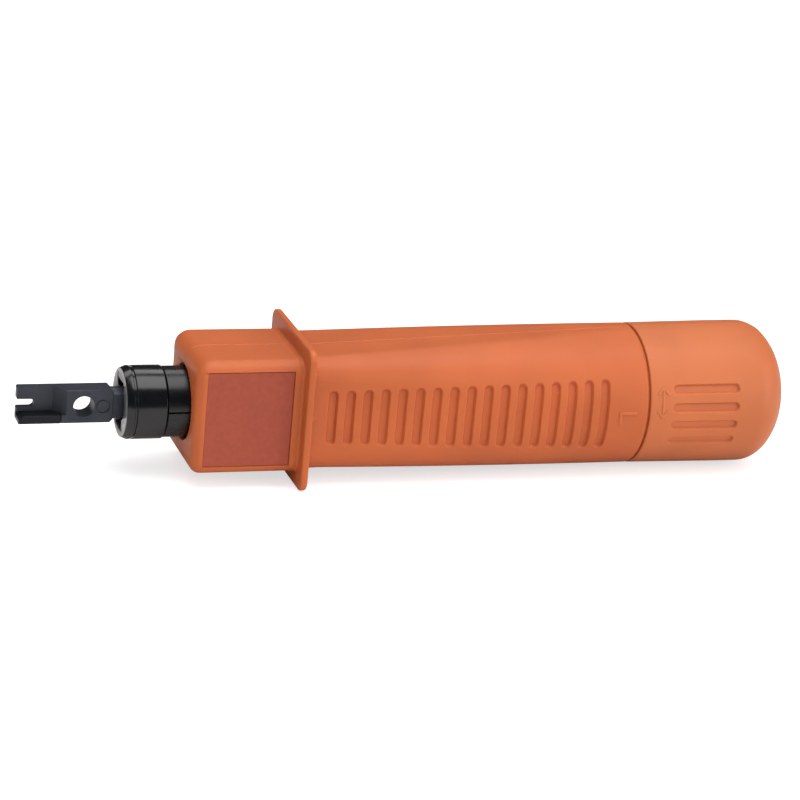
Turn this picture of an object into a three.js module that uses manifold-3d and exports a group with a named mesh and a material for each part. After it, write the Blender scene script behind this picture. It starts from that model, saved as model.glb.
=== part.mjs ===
// Impact punch-down tool: a spring hammer in a two-shell grip, a sliding chuck with a
// quarter-turn blade in front, and a turning end cap that sets the blow behind.
// Millimetres. X is the tool's axis and the blade points to -X. Y = 0 is the shells' seam,
// the label faces -Y, and +Z is up. The origin is the middle of the whole tool.
import * as THREE from 'three';
import { mergeVertices } from 'three/addons/utils/BufferGeometryUtils.js';
import Module from 'manifold-3d';

const wasm = await Module();
wasm.setup();

// ---- Driving dimensions -------------------------------------------------------------
// Overall lengths along the axis.
const BLADE_REACH = 37.2; // blade tip to the body's front face
const BODY_LENGTH = 106.3; // front face to the cap joint
const CAP_LENGTH = 38.2; // cap joint to the domed end

// Gaps between pieces.
const SEAM_GAP = 0.1;
const FIT_GAP = 0.3; // between pieces that touch
const RUNNING_GAP = 0.15; // between pieces that slide on each other

// Chuck and plunger.
const CHUCK_DIAMETER = 16.6;
const CHUCK_RIM = 0.55; // how far the front chamfer narrows the face
const CHUCK_GROOVE = 1.7; // chuck face to the fine groove
const CHUCK_OVERHANG = 14.1; // chuck face to the body's front face
const COLLAR_LENGTH = 9.1; // chuck face to the collar's rear
const COLLAR_STEP = 0.3; // collar to sleeve
const SLEEVE_WALL = 1.25;
const STROKE = 10.0; // chuck travel into the body
const CHUCK_CLEARANCE = 0.6; // round the collar as it enters the body
const BUSHING_LENGTH = 10.0;
const BUSHING_WALL = 2.2;
const FLANGE_OVERHANG = 1.0; // flange past the sleeve
const FLANGE_THICKNESS = 2.0;
const ROD_DIAMETER = 7.0;
const SPIGOT_DIAMETER = 9.0;
const CROSS_PIN_DIAMETER = 2.5;

// Blade.
const BLADE_HEIGHT = 7.7;
const BLADE_THICKNESS = 5.0;
const BLADE_BAR_LENGTH = 21.1;
const BLADE_TIP_THICKNESS = 1.9;
const BLADE_HOLE_DIAMETER = 4.8;
const BLADE_HOLE_SETBACK = 14.5; // tip to the hole's centre
const TIP_POCKET_LENGTH = 8.0;
const TIP_POCKET_RAMP = 2.6;
const CUTTER_HEIGHT = 1.9;
const CUTTER_LENGTH = 9.5;
const NOTCH_WIDTH = 1.9;
const NOTCH_DEPTH = 3.9;
const NECK_DIAMETER = 7.2;
const LUG_SPAN = 9.6;
const LUG_WIDTH = 4.6;
const LUG_LENGTH = 2.6;
const BLADE_CLEARANCE = 0.4; // round the blade's shank and lugs in the chuck

// Hammer, latch and springs.
const TUBE_BORE = 14.4;
const TUBE_WALL = 1.0;
const RETURN_SPRING_ROOM = 7.0; // left for the return spring at full stroke
const WASHER_THICKNESS = 1.0;
const ROD_REACH = 11.5; // tube's front end to the hammer
const HAMMER_SOLID = 6.0; // solid end of the hammer behind its bore
const TAIL_PIN_DIAMETER = 3.8;
const LATCH_THICKNESS = 2.4;
const LATCH_SHIFT = 1.5; // sideways travel of the latch over the whole stroke
const RETURN_WIRE = 0.8;
const MAIN_WIRE = 1.5;
const NUT_LENGTH = 6.0;
const NUT_TRAVEL = 3.0; // how far half a turn of the cap drives the nut
const NUT_ROOM = 12.2; // nut to the adjuster screw's head

// Grip shells.
const FRONT_WALL = 3.0; // round the bushing
const REAR_WALL = 5.05; // round the cap's hub
const BODY_CORNER = 3.0; // corner radius of the square front
const FRONT_EDGE = 2.5; // rounding of the front face's edge
const SHELL_WALL = 2.4;
const RIB_THICKNESS = 2.0;

// Label panels, one on each side.
const LABEL_LENGTH = 20.0;
const LABEL_SETBACK = 2.2;
const LABEL_MARGIN = 2.1; // panel to the grip's upper and lower sides
const LABEL_RECESS = 0.5;
const LABEL_THICKNESS = 0.3;

// Finger guard, moulded with the shells.
const GUARD_OVERHANG = 3.4; // past the grip's sides
const GUARD_THICKNESS = 1.6;
const GUARD_CORNER = 2.0;
const GUARD_MARGIN = 2.2; // label to guard
const GUARD_EDGE = 0.3;

// Grip grooves, a row on each side.
const GROOVE_COUNT = 17;
const GROOVE_WIDTH = 2.25;
const GROOVE_DEPTH = 0.75;
const GROOVE_HEIGHT_FRONT = 12.8;
const GROOVE_HEIGHT_REAR = 16.8;
const GROOVE_MARGIN = 5.4; // guard to the first groove's centre line
const GROOVE_REAR_MARGIN = 10.6; // last groove's centre line to the cap joint

// Raised marks.
const MARK_HEIGHT = 0.3;
const MARK_STROKE = 0.8;
const LETTER_LENGTH = 4.2;
const LETTER_WIDTH = 3.0;
const LETTER_REAR_MARGIN = 2.7; // letter to the cap joint
const LETTER_DROP = 0.5; // letter's middle below the axis

// Cap.
const CAP_FLARE = 0.4; // how far the cap widens towards its dome
const DOME_LENGTH = 10.0;
const CAP_WALL = 2.85;
const CAP_JOINT_GAP = 0.6;
const HUB_WALL = 2.8;
const CAP_SLOT_FRONT = 6.2; // cap joint to the slots
const CAP_SLOT_REAR = 5.4; // slots to the dome
const CAP_SLOT_WIDTH = 2.3;
const CAP_SLOT_DEPTH = 0.65;
const CAP_SLOT_ANGLES = [-23.8, -8.9, 6.1, 21.3]; // degrees round from the side's middle
const ARROW_ANGLE = 10.6;
const SCREW_DIAMETER = 5.8;
const SCREW_HEAD_LENGTH = 3.7;
const SCREW_SEAT_DEPTH = 3.8; // screw's seat in front of the dome's root

// Shell screws.
const SHELL_SCREW_DIAMETER = 2.0;
const SHELL_SCREW_HEAD = 3.6;
const SHELL_SCREW_POST = 4.8; // post diameter inside the grip
const SHELL_SCREW_SEAT = 8.0; // head seat from the seam
const SHELL_SCREW_FRONT = 10.0; // front pair from the guide tube's front end
const SHELL_SCREW_REAR = 20.0; // rear pair from the cap joint

// ---- Sizes that follow ----------------------------------------------------------------
const sleeveRadius = CHUCK_DIAMETER / 2 - COLLAR_STEP;
const chuckHoleRadius = CHUCK_DIAMETER / 2 + CHUCK_CLEARANCE;
const bushingRadius = sleeveRadius + BUSHING_WALL;
const flangeRadius = sleeveRadius + FLANGE_OVERHANG;
const bodyHalf = bushingRadius + FRONT_WALL;
const guardHalf = bodyHalf + GUARD_OVERHANG;
const labelHalf = bodyHalf - LABEL_MARGIN;
const socketRadius = NECK_DIAMETER / 2 + BLADE_CLEARANCE;
const tubeRadius = TUBE_BORE / 2 + TUBE_WALL;
const hammerRadius = TUBE_BORE / 2 - RUNNING_GAP;
const hubRadius = tubeRadius + FIT_GAP + HUB_WALL;
const rearRadius = hubRadius + REAR_WALL;
const capRadius = rearRadius + CAP_FLARE;
const chamberRadius = Math.max(flangeRadius, tubeRadius) + FIT_GAP;
const screwHeight = tubeRadius + 2 * FIT_GAP + SHELL_SCREW_POST / 2;

// ---- Stations along the axis --------------------------------------------------------
const TOTAL_LENGTH = BLADE_REACH + BODY_LENGTH + CAP_LENGTH;
const tipX = -TOTAL_LENGTH / 2;
const frontX = tipX + BLADE_REACH;
const jointX = frontX + BODY_LENGTH;
const endX = jointX + CAP_LENGTH;
const faceX = frontX - CHUCK_OVERHANG;
const collarRearX = faceX + COLLAR_LENGTH;
const bushingX = collarRearX + STROKE + 1.7;
const bushingEndX = bushingX + BUSHING_LENGTH;
const flangeX = bushingEndX + FIT_GAP;
const flangeEndX = flangeX + FLANGE_THICKNESS;
const washerX = flangeEndX + STROKE + RETURN_SPRING_ROOM;
const tubeX = washerX + WASHER_THICKNESS + 0.2;
const hammerX = tubeX + ROD_REACH;
const hammerBoreEndX = hammerX + STROKE + 8;
const hammerEndX = hammerBoreEndX + HAMMER_SOLID;
const latchX = hammerX + 2;
const labelX = frontX + LABEL_SETBACK;
const guardX = labelX + LABEL_LENGTH + GUARD_MARGIN;
const squareEndX = guardX + GUARD_THICKNESS + 4;
const firstGrooveX = guardX + GUARD_THICKNESS + GROOVE_MARGIN;
const lastGrooveX = jointX - GROOVE_REAR_MARGIN;
const rearWallX = jointX - 6.3;
const capX = jointX + CAP_JOINT_GAP;
const domeX = endX - DOME_LENGTH;
const screwSeatX = domeX - SCREW_SEAT_DEPTH;
const screwHeadX = screwSeatX - SCREW_HEAD_LENGTH - 0.1;
const nutX = screwHeadX - NUT_ROOM - NUT_LENGTH;
const tubeEndX = nutX + NUT_LENGTH + 8;

// ---- Solid helpers ------------------------------------------------------------------
function solidOf(geometry) {
  const bare = geometry.clone();
  bare.deleteAttribute('normal');
  bare.deleteAttribute('uv');
  const merged = mergeVertices(bare, 1e-5);
  return new wasm.Manifold(new wasm.Mesh({
    numProp: 3,
    vertProperties: new Float32Array(merged.attributes.position.array),
    triVerts: new Uint32Array(merged.index.array),
  }));
}

function geometryOf(solid) {
  const mesh = solid.getMesh();
  const geometry = new THREE.BufferGeometry();
  geometry.setAttribute('position', new THREE.BufferAttribute(mesh.vertProperties, 3));
  geometry.setIndex(new THREE.BufferAttribute(mesh.triVerts, 1));
  return geometry;
}

function join(first, ...others) {
  return others.reduce((whole, piece) => whole.add(piece), first);
}

function cut(first, ...others) {
  return others.reduce((whole, piece) => whole.subtract(piece), first);
}

function block(x0, x1, y0, y1, z0, z1) {
  const geometry = new THREE.BoxGeometry(x1 - x0, y1 - y0, z1 - z0);
  geometry.translate((x0 + x1) / 2, (y0 + y1) / 2, (z0 + z1) / 2);
  return solidOf(geometry);
}

// A rod along X.
function rod(x0, x1, radius, sides = 32) {
  const geometry = new THREE.CylinderGeometry(radius, radius, x1 - x0, sides);
  geometry.rotateZ(-Math.PI / 2);
  geometry.translate((x0 + x1) / 2, 0, 0);
  return solidOf(geometry);
}

function crossRod(x, z, y0, y1, radius, sides = 16) {
  const geometry = new THREE.CylinderGeometry(radius, radius, y1 - y0, sides);
  geometry.translate(x, (y0 + y1) / 2, z);
  return solidOf(geometry);
}

function uprightRod(x, y, z0, z1, radius, sides = 16) {
  const geometry = new THREE.CylinderGeometry(radius, radius, z1 - z0, sides);
  geometry.rotateX(Math.PI / 2);
  geometry.translate(x, y, (z0 + z1) / 2);
  return solidOf(geometry);
}

// A turned piece about the X axis. The profile lists [x, radius] from the front to the rear.
function turned(profile, sides = 32) {
  const points = profile.toReversed().map(([x, radius]) => new THREE.Vector2(radius, -x));
  const geometry = new THREE.LatheGeometry(points, sides);
  geometry.rotateZ(Math.PI / 2);
  return solidOf(geometry);
}

function tube(x0, x1, inner, outer, sides = 28) {
  return cut(rod(x0, x1, outer, sides), rod(x0 - 1, x1 + 1, inner, sides));
}

// A flat outline in X and Z, raised along Y.
function plate(outline, y0, y1) {
  const geometry = new THREE.ExtrudeGeometry(outline, {
    depth: y1 - y0, bevelEnabled: false, curveSegments: 2,
  });
  geometry.rotateX(Math.PI / 2);
  geometry.translate(0, y1, 0);
  return solidOf(geometry);
}

function stadium(x, width, height) {
  const radius = width / 2;
  const straight = height / 2 - radius;
  const outline = new THREE.Shape();
  outline.absarc(x, straight, radius, 0, Math.PI, false);
  outline.absarc(x, -straight, radius, Math.PI, 2 * Math.PI, false);
  return outline;
}

// The wire's path in a coil spring along X.
class Helix extends THREE.Curve {
  constructor(length, radius, turns) {
    super();
    Object.assign(this, { length, radius, turns });
  }

  getPoint(t) {
    const angle = t * this.turns * 2 * Math.PI;
    const y = this.radius * Math.cos(angle);
    const z = this.radius * Math.sin(angle);
    return new THREE.Vector3(t * this.length, y, z);
  }
}

function coil(length, meanRadius, wire, turns) {
  const stepsPerTurn = 10;
  const section = new THREE.Shape();
  section.absarc(0, 0, wire / 2, 0, 2 * Math.PI, false);
  const path = new Helix(length - wire, meanRadius, turns);
  const geometry = new THREE.ExtrudeGeometry(section, {
    steps: Math.round(turns * stepsPerTurn), extrudePath: path, curveSegments: 3,
  });
  geometry.translate(wire / 2, 0, 0);
  return geometry;
}

function coilBetween(x0, x1, meanRadius, wire, turns) {
  const geometry = coil(x1 - x0, meanRadius, wire, turns);
  geometry.translate(x0, 0, 0);
  return solidOf(geometry);
}

// ---- Sections of the grip -----------------------------------------------------------
const CORNER_STEPS = 6;

// A ring of points round a rounded square at station x.
function ring(x, half, corner) {
  const points = [];
  for (let quadrant = 0; quadrant < 4; quadrant += 1) {
    const turn = quadrant * Math.PI / 2;
    const side = half - corner;
    const centreY = side * Math.SQRT2 * Math.cos(turn + Math.PI / 4);
    const centreZ = side * Math.SQRT2 * Math.sin(turn + Math.PI / 4);
    for (let step = 0; step < CORNER_STEPS; step += 1) {
      const angle = turn + (step + 0.5) / CORNER_STEPS * Math.PI / 2;
      points.push([x, centreY + corner * Math.cos(angle), centreZ + corner * Math.sin(angle)]);
    }
  }
  return points;
}

// A closed skin over rings that run from low x to high x.
function skin(rings) {
  const count = rings[0].length;
  const positions = rings.flat(2);
  const index = [];
  for (let row = 0; row + 1 < rings.length; row += 1) {
    for (let column = 0; column < count; column += 1) {
      const a = row * count + column;
      const b = row * count + (column + 1) % count;
      index.push(a, b + count, b, a, a + count, b + count);
    }
  }
  const last = (rings.length - 1) * count;
  for (let column = 1; column + 1 < count; column += 1) {
    index.push(0, column, column + 1);
    index.push(last, last + column + 1, last + column);
  }
  const geometry = new THREE.BufferGeometry();
  geometry.setAttribute('position', new THREE.Float32BufferAttribute(positions, 3));
  geometry.setIndex(index);
  return solidOf(outward(geometry));
}

// Turns every triangle over when a skin was wound inside out.
function outward(geometry) {
  const { array } = geometry.attributes.position;
  const corners = geometry.index.array;
  const point = (corner) => new THREE.Vector3().fromArray(array, 3 * corner);
  let volume = 0;
  for (let i = 0; i < corners.length; i += 3) {
    const [a, b, c] = [point(corners[i]), point(corners[i + 1]), point(corners[i + 2])];
    volume += a.dot(b.cross(c));
  }
  if (volume < 0) geometry.setIndex(Array.from(corners).reverse());
  return geometry;
}

// Half width and corner radius of the grip at a station.
function gripSection(x) {
  const blend = THREE.MathUtils.clamp(
    (x - squareEndX) / (jointX - squareEndX), 0, 1);
  return {
    half: THREE.MathUtils.lerp(bodyHalf, rearRadius, blend),
    corner: THREE.MathUtils.lerp(BODY_CORNER, rearRadius, blend),
  };
}

// The grip's outside from one station to another, moved in by `inset`.
function gripBody(from, to, inset, steps) {
  const rings = [];
  for (let step = 0; step <= steps; step += 1) {
    const x = THREE.MathUtils.lerp(from, to, step / steps);
    const { half, corner } = gripSection(x);
    rings.push(ring(x, half - inset, Math.max(corner - inset, 0.4)));
  }
  return rings;
}

// The rounded edge of the front face, as rings that close in towards it.
function frontEdgeRings() {
  const rings = [];
  const { half, corner } = gripSection(frontX);
  const steps = 4;
  for (let step = 0; step < steps; step += 1) {
    const angle = step / steps * Math.PI / 2;
    const inset = FRONT_EDGE * (1 - Math.sin(angle));
    const setback = FRONT_EDGE * (1 - Math.cos(angle));
    rings.push(ring(frontX + setback, half - inset, Math.max(corner - inset, 0.5)));
  }
  return rings;
}

function gripOutside() {
  const straight = gripBody(frontX + FRONT_EDGE, squareEndX, 0, 1);
  const tapered = gripBody(squareEndX, jointX - GUARD_EDGE, 0, 6).slice(1);
  const { half, corner } = gripSection(jointX);
  const lip = ring(jointX, half - GUARD_EDGE, corner - GUARD_EDGE);
  return skin([...frontEdgeRings(), ...straight, ...tapered, lip]);
}

function guardPlate() {
  const end = guardX + GUARD_THICKNESS;
  return skin([
    ring(guardX, guardHalf - GUARD_EDGE, GUARD_CORNER),
    ring(guardX + GUARD_EDGE, guardHalf, GUARD_CORNER),
    ring(end - GUARD_EDGE, guardHalf, GUARD_CORNER),
    ring(end, guardHalf - GUARD_EDGE, GUARD_CORNER),
  ]);
}

// ---- Cuts and marks on the grip's sides ---------------------------------------------
const REACH = 40; // longer than anything is wide, for cutters

// The grooves of one side: stadium slots that go down to a skin under the surface.
function grooveCutters(side) {
  const slots = [];
  for (let i = 0; i < GROOVE_COUNT; i += 1) {
    const along = i / (GROOVE_COUNT - 1);
    const x = THREE.MathUtils.lerp(firstGrooveX, lastGrooveX, along);
    const height = THREE.MathUtils.lerp(GROOVE_HEIGHT_FRONT, GROOVE_HEIGHT_REAR, along);
    const outline = stadium(x, GROOVE_WIDTH, height);
    slots.push(side < 0 ? plate(outline, -REACH, -4) : plate(outline, 4, REACH));
  }
  const floor = skin(gripBody(firstGrooveX - 4, lastGrooveX + 4, GROOVE_DEPTH, 4));
  return cut(join(...slots), floor);
}

function labelBox(side, inset, depth) {
  const x0 = labelX + inset;
  const x1 = labelX + LABEL_LENGTH - inset;
  const z = labelHalf - inset;
  const floor = bodyHalf - LABEL_RECESS;
  const top = depth ? floor + depth : bodyHalf + 1;
  const y0 = side < 0 ? -top : floor;
  const y1 = side < 0 ? -floor : top;
  return block(x0, x1, y0, y1, -z, z);
}

// Letter strokes as [x from, x to, z from, z to]: L stands for the low blow, H for the high.
function letterStrokes(side) {
  const x1 = jointX - LETTER_REAR_MARGIN;
  const x0 = x1 - LETTER_LENGTH;
  const z1 = side < 0 ? LETTER_WIDTH / 2 : -LETTER_WIDTH / 2;
  const stem = [x0, x1, Math.min(z1, z1 + side * MARK_STROKE), Math.max(z1, z1 + side * MARK_STROKE)];
  const spanZ = [-LETTER_WIDTH / 2, LETTER_WIDTH / 2];
  if (side < 0) return [stem, [x0, x0 + MARK_STROKE, ...spanZ]];
  const middle = (x0 + x1) / 2;
  const secondStem = [x0, x1, LETTER_WIDTH / 2 - MARK_STROKE, LETTER_WIDTH / 2];
  return [stem, secondStem, [middle - MARK_STROKE / 2, middle + MARK_STROKE / 2, ...spanZ]];
}

function letter(side) {
  const strokes = letterStrokes(side).map(([x0, x1, z0, z1]) => (
    side < 0 ? block(x0, x1, -REACH, -4, z0, z1) : block(x0, x1, 4, REACH, z0, z1)));
  const raised = skin(gripBody(jointX - 12, jointX, -MARK_HEIGHT, 2));
  return join(...strokes).translate([0, 0, -LETTER_DROP]).intersect(raised);
}

// ---- Inside of the grip -------------------------------------------------------------
function screwPlaces() {
  const places = [];
  for (const x of [tubeX + SHELL_SCREW_FRONT, jointX - SHELL_SCREW_REAR]) {
    for (const z of [screwHeight, -screwHeight]) {
      places.push([x, z]);
    }
  }
  return places;
}

// The hollow between the tube's front seat and the rear wall, less its ribs and screw posts.
function gripHollow() {
  const from = tubeX + 4.5;
  const to = rearWallX;
  const hollow = skin(gripBody(from, to, SHELL_WALL, 4));
  const ribs = [];
  const ribCount = 3;
  for (let i = 1; i <= ribCount; i += 1) {
    const x = THREE.MathUtils.lerp(from, to - 4, i / (ribCount + 0.5));
    ribs.push(block(x - RIB_THICKNESS / 2, x + RIB_THICKNESS / 2, -REACH, REACH, -REACH, REACH));
  }
  const posts = screwPlaces().map(([x, z]) => (
    crossRod(x, z, -REACH, REACH, SHELL_SCREW_POST / 2)));
  return cut(hollow, ...ribs, ...posts);
}

// Everything that runs through the grip along its axis.
function gripBores() {
  const seat = tubeX + 1.2;
  return join(
    rod(frontX - 1, bushingX + 1, chuckHoleRadius, 40),
    rod(bushingX - FIT_GAP / 2, bushingEndX + FIT_GAP / 2, bushingRadius + RUNNING_GAP, 40),
    rod(bushingEndX - 1, tubeX, chamberRadius, 40),
    rod(tubeX - 1, jointX + 1, tubeRadius + RUNNING_GAP, 40),
    rod(seat, seat + 1.9, tubeRadius + 1.8, 40),
    rod(rearWallX - 3.5, rearWallX, hubRadius + 1.9, 40),
    rod(rearWallX - 1, jointX + 1, hubRadius + FIT_GAP, 40),
  );
}

function screwHoles() {
  const radius = SHELL_SCREW_DIAMETER / 2 + RUNNING_GAP;
  const head = SHELL_SCREW_HEAD / 2 + RUNNING_GAP;
  return screwPlaces().flatMap(([x, z]) => [
    crossRod(x, z, -SHELL_SCREW_SEAT - 1, SHELL_SCREW_SEAT + 1, radius, 12),
    crossRod(x, z, SHELL_SCREW_SEAT, REACH, head, 16),
  ]);
}

function gripWhole() {
  const outside = join(gripOutside(), guardPlate(), letter(-1), letter(1));
  return cut(
    outside, gripHollow(), gripBores(), ...screwHoles(), grooveCutters(-1), grooveCutters(1),
    labelBox(-1, 0, 0), labelBox(1, 0, 0));
}

const grip = gripWhole();
const nearHalf = block(-REACH * 4, REACH * 4, -REACH, -SEAM_GAP / 2, -REACH, REACH);
const farHalf = block(-REACH * 4, REACH * 4, SEAM_GAP / 2, REACH, -REACH, REACH);

// ---- Pieces of the housing ----------------------------------------------------------
function labelPanel(side) {
  return labelBox(side, FIT_GAP / 2, LABEL_THICKNESS);
}

function frontBushing() {
  return tube(bushingX, bushingEndX, sleeveRadius + RUNNING_GAP, bushingRadius);
}

// The hammer's guide tube: a flange holds it, a window takes the cam, slots guide the nut.
function guideTube() {
  const flange = tube(tubeX + 1.4, tubeX + 2.9, TUBE_BORE / 2, tubeRadius + 1.6);
  const bore = tube(tubeX, tubeEndX, TUBE_BORE / 2, tubeRadius);
  const slotStart = nutX - NUT_TRAVEL - 1.5;
  const window = block(camX - 0.2, camEndX + 0.2, -2.1, 2.1, -REACH, 0);
  const slots = block(slotStart, tubeEndX + 1, -REACH, REACH, -1.7, 1.7);
  return cut(join(bore, flange), window, slots);
}

// The cam is a wedge under the hammer: its slope lifts the latch as the hammer goes back.
const camX = latchX;
const camEndX = latchX + LATCH_THICKNESS + STROKE + 1.6;
const camSlope = LATCH_SHIFT / STROKE;
const camLow = TUBE_BORE / 2 - 0.3; // depth of the slope's front below the axis
const camHalfWidth = 1.9;

function slopedBlock(x0, x1, depthFront, depthRear, bottom, halfWidth) {
  const outline = new THREE.Shape([
    new THREE.Vector2(x0, -bottom),
    new THREE.Vector2(x1, -bottom),
    new THREE.Vector2(x1, -depthRear),
    new THREE.Vector2(x0, -depthFront),
  ]);
  return plate(outline, -halfWidth, halfWidth);
}

function releaseCam() {
  const rise = camSlope * (camEndX - camX);
  return slopedBlock(camX, camEndX, camLow, camLow - rise, tubeRadius - FIT_GAP, camHalfWidth);
}

function springWasher() {
  return tube(washerX, washerX + WASHER_THICKNESS, ROD_DIAMETER / 2 + FIT_GAP, tubeRadius);
}

function shellScrew([x, z]) {
  const seat = SHELL_SCREW_SEAT + 0.1;
  const head = crossRod(x, z, seat, seat + 1.4, SHELL_SCREW_HEAD / 2, 16);
  const shank = crossRod(x, z, -SHELL_SCREW_SEAT, seat + 0.2, SHELL_SCREW_DIAMETER / 2, 12);
  const slot = block(x - 1.2, x + 1.2, seat + 0.8, seat + 2, z - 0.25, z + 0.25);
  const crossSlot = block(x - 0.25, x + 0.25, seat + 0.8, seat + 2, z - 1.2, z + 1.2);
  return cut(join(head, shank), slot, crossSlot);
}

// ---- Pieces of the plunger ----------------------------------------------------------
const shankRadius = sleeveRadius - SLEEVE_WALL - RUNNING_GAP;
const plungerEndX = bushingEndX - FIT_GAP;
const cavityX = faceX + 3; // the lugs turn in this cavity behind the front wall
const cavityEndX = cavityX + LUG_LENGTH + 0.8;
const tailEndX = faceX + 12;
const spigotX = faceX + 19.3;

// The bore steps from the keyhole through the lug cavity and spring pocket to the rod's seat.
function chuckBores() {
  const slotHalf = LUG_WIDTH / 2 + FIT_GAP;
  const slotReach = LUG_SPAN / 2 + BLADE_CLEARANCE;
  const slot = block(faceX - 1, cavityX + 0.5, -slotHalf, slotHalf, -slotReach, slotReach);
  return join(
    slot,
    rod(faceX - 1, tailEndX + 1, socketRadius, 24),
    rod(cavityX, cavityEndX, LUG_SPAN / 2 + FIT_GAP, 24),
    rod(tailEndX, spigotX + 1, 2.4, 20),
    rod(spigotX - FIT_GAP, plungerEndX + 1, SPIGOT_DIAMETER / 2 + RUNNING_GAP, 24),
  );
}

function crossPin(clearance) {
  const x = spigotX + 6;
  const reach = sleeveRadius - 0.2 + 10 * clearance;
  return uprightRod(x, 0, -reach, reach, CROSS_PIN_DIAMETER / 2 + clearance, 16);
}

function chuck() {
  const outer = CHUCK_DIAMETER / 2;
  const grooveX = faceX + CHUCK_GROOVE;
  const body = turned([
    [faceX, 0], [faceX, outer - CHUCK_RIM], [faceX + 1.1, outer - 0.1], [faceX + 1.5, outer],
    [grooveX, outer], [grooveX + 0.15, outer - 0.4], [grooveX + 0.55, outer - 0.4],
    [grooveX + 0.7, outer], [collarRearX - 0.3, outer], [collarRearX, outer - 0.3],
    [collarRearX, shankRadius], [plungerEndX, shankRadius], [plungerEndX, 0],
  ]);
  return cut(body, chuckBores(), crossPin(RUNNING_GAP));
}

function chuckSleeve() {
  const inner = sleeveRadius - SLEEVE_WALL;
  const body = tube(collarRearX + 0.2, plungerEndX, inner, sleeveRadius);
  const slit = block(collarRearX - 1, plungerEndX + 1, -REACH, 0, -0.25, 0.25);
  return cut(body, slit, crossPin(RUNNING_GAP));
}

function plungerRod() {
  const shoulderX = hammerX - 6;
  const pinEndX = latchX - 0.3;
  const body = turned([
    [spigotX, 0], [spigotX, SPIGOT_DIAMETER / 2], [flangeX, SPIGOT_DIAMETER / 2],
    [flangeX, flangeRadius], [flangeEndX, flangeRadius],
    [flangeEndX, ROD_DIAMETER / 2], [shoulderX, ROD_DIAMETER / 2],
    [shoulderX, TAIL_PIN_DIAMETER / 2], [pinEndX, TAIL_PIN_DIAMETER / 2], [pinEndX, 0],
  ], 32);
  return cut(body, crossPin(RUNNING_GAP));
}

const ballRadius = 2.1;

function catchBall() {
  const geometry = new THREE.SphereGeometry(ballRadius, 12, 8);
  geometry.translate(tailEndX + ballRadius + RUNNING_GAP, 0, 0);
  return solidOf(geometry);
}

function catchSpring() {
  const start = tailEndX + 2 * ballRadius + 2 * RUNNING_GAP;
  return coilBetween(start, spigotX - RUNNING_GAP, 1.5, 0.5, 3);
}

// ---- Blade --------------------------------------------------------------------------
const bladeHalf = BLADE_HEIGHT / 2;
const barEndX = tipX + BLADE_BAR_LENGTH;

// The bar seen from the side, with a U notch in its tip and small rear chamfers.
function bladeOutline() {
  const notch = NOTCH_WIDTH / 2;
  const chamfer = 0.7;
  const outline = new THREE.Shape();
  outline.moveTo(tipX, -bladeHalf);
  outline.lineTo(barEndX - chamfer, -bladeHalf);
  outline.lineTo(barEndX, -bladeHalf + chamfer);
  outline.lineTo(barEndX, bladeHalf - chamfer);
  outline.lineTo(barEndX - chamfer, bladeHalf);
  outline.lineTo(tipX, bladeHalf);
  outline.lineTo(tipX, notch);
  outline.lineTo(tipX + NOTCH_DEPTH - notch, notch);
  outline.absarc(tipX + NOTCH_DEPTH - notch, 0, notch, Math.PI / 2, -Math.PI / 2, true);
  outline.lineTo(tipX, -notch);
  return outline;
}

// The near face is milled away at the tip and ramps back out to the full thickness.
function tipPocket() {
  const near = -BLADE_THICKNESS / 2;
  const floor = BLADE_THICKNESS / 2 - BLADE_TIP_THICKNESS;
  const outline = new THREE.Shape([
    new THREE.Vector2(tipX - 1, near - 1),
    new THREE.Vector2(tipX + TIP_POCKET_LENGTH + TIP_POCKET_RAMP + 0.8, near - 1),
    new THREE.Vector2(tipX + TIP_POCKET_LENGTH, floor),
    new THREE.Vector2(tipX - 1, floor),
  ]);
  const geometry = new THREE.ExtrudeGeometry(outline, { depth: BLADE_HEIGHT, bevelEnabled: false });
  geometry.translate(0, 0, -bladeHalf + CUTTER_HEIGHT);
  return solidOf(geometry);
}

function cutterBlock(clearance) {
  const z = -bladeHalf + CUTTER_HEIGHT;
  return block(
    tipX - clearance, tipX + CUTTER_LENGTH + clearance, -REACH, BLADE_THICKNESS / 2 - 1.2 + clearance,
    -REACH, z + clearance);
}

function bladeBar() {
  const half = BLADE_THICKNESS / 2;
  const bar = plate(bladeOutline(), -half, half);
  const hole = crossRod(tipX + BLADE_HOLE_SETBACK, 0, -REACH, REACH, BLADE_HOLE_DIAMETER / 2, 24);
  const head = cut(bar, tipPocket(), hole, cutterBlock(0.1));
  const neckX = barEndX - 0.5;
  const neckHalf = BLADE_THICKNESS / 2 - 0.1;
  const neck = rod(neckX, cavityX + 1, NECK_DIAMETER / 2, 24)
    .intersect(block(neckX, cavityX + 1, -neckHalf, neckHalf, -REACH, REACH));
  const lugStart = cavityX + 0.3;
  const lugs = rod(lugStart, lugStart + LUG_LENGTH, LUG_SPAN / 2, 24)
    .intersect(block(lugStart, lugStart + LUG_LENGTH, -REACH, REACH, -LUG_WIDTH / 2, LUG_WIDTH / 2));
  const tail = rod(lugStart, tailEndX, socketRadius - FIT_GAP, 24);
  return join(head, neck, lugs, tail);
}

// The cutter is a hardened strip let into the lower edge, bevelled to its edge at the tip.
function cutterBlade() {
  const z = -bladeHalf + CUTTER_HEIGHT;
  const strip = block(
    tipX, tipX + CUTTER_LENGTH, -BLADE_THICKNESS / 2, BLADE_THICKNESS / 2 - 1.3, -bladeHalf, z);
  const bevel = new THREE.Shape([
    new THREE.Vector2(tipX - 1, z - 0.9),
    new THREE.Vector2(tipX + 1.2, z + 1),
    new THREE.Vector2(tipX - 1, z + 1),
  ]);
  return cut(strip, plate(bevel, -REACH, REACH));
}

// ---- Hammer and latch ---------------------------------------------------------------
const boreRadius = TAIL_PIN_DIAMETER / 2 + 0.4;

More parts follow.
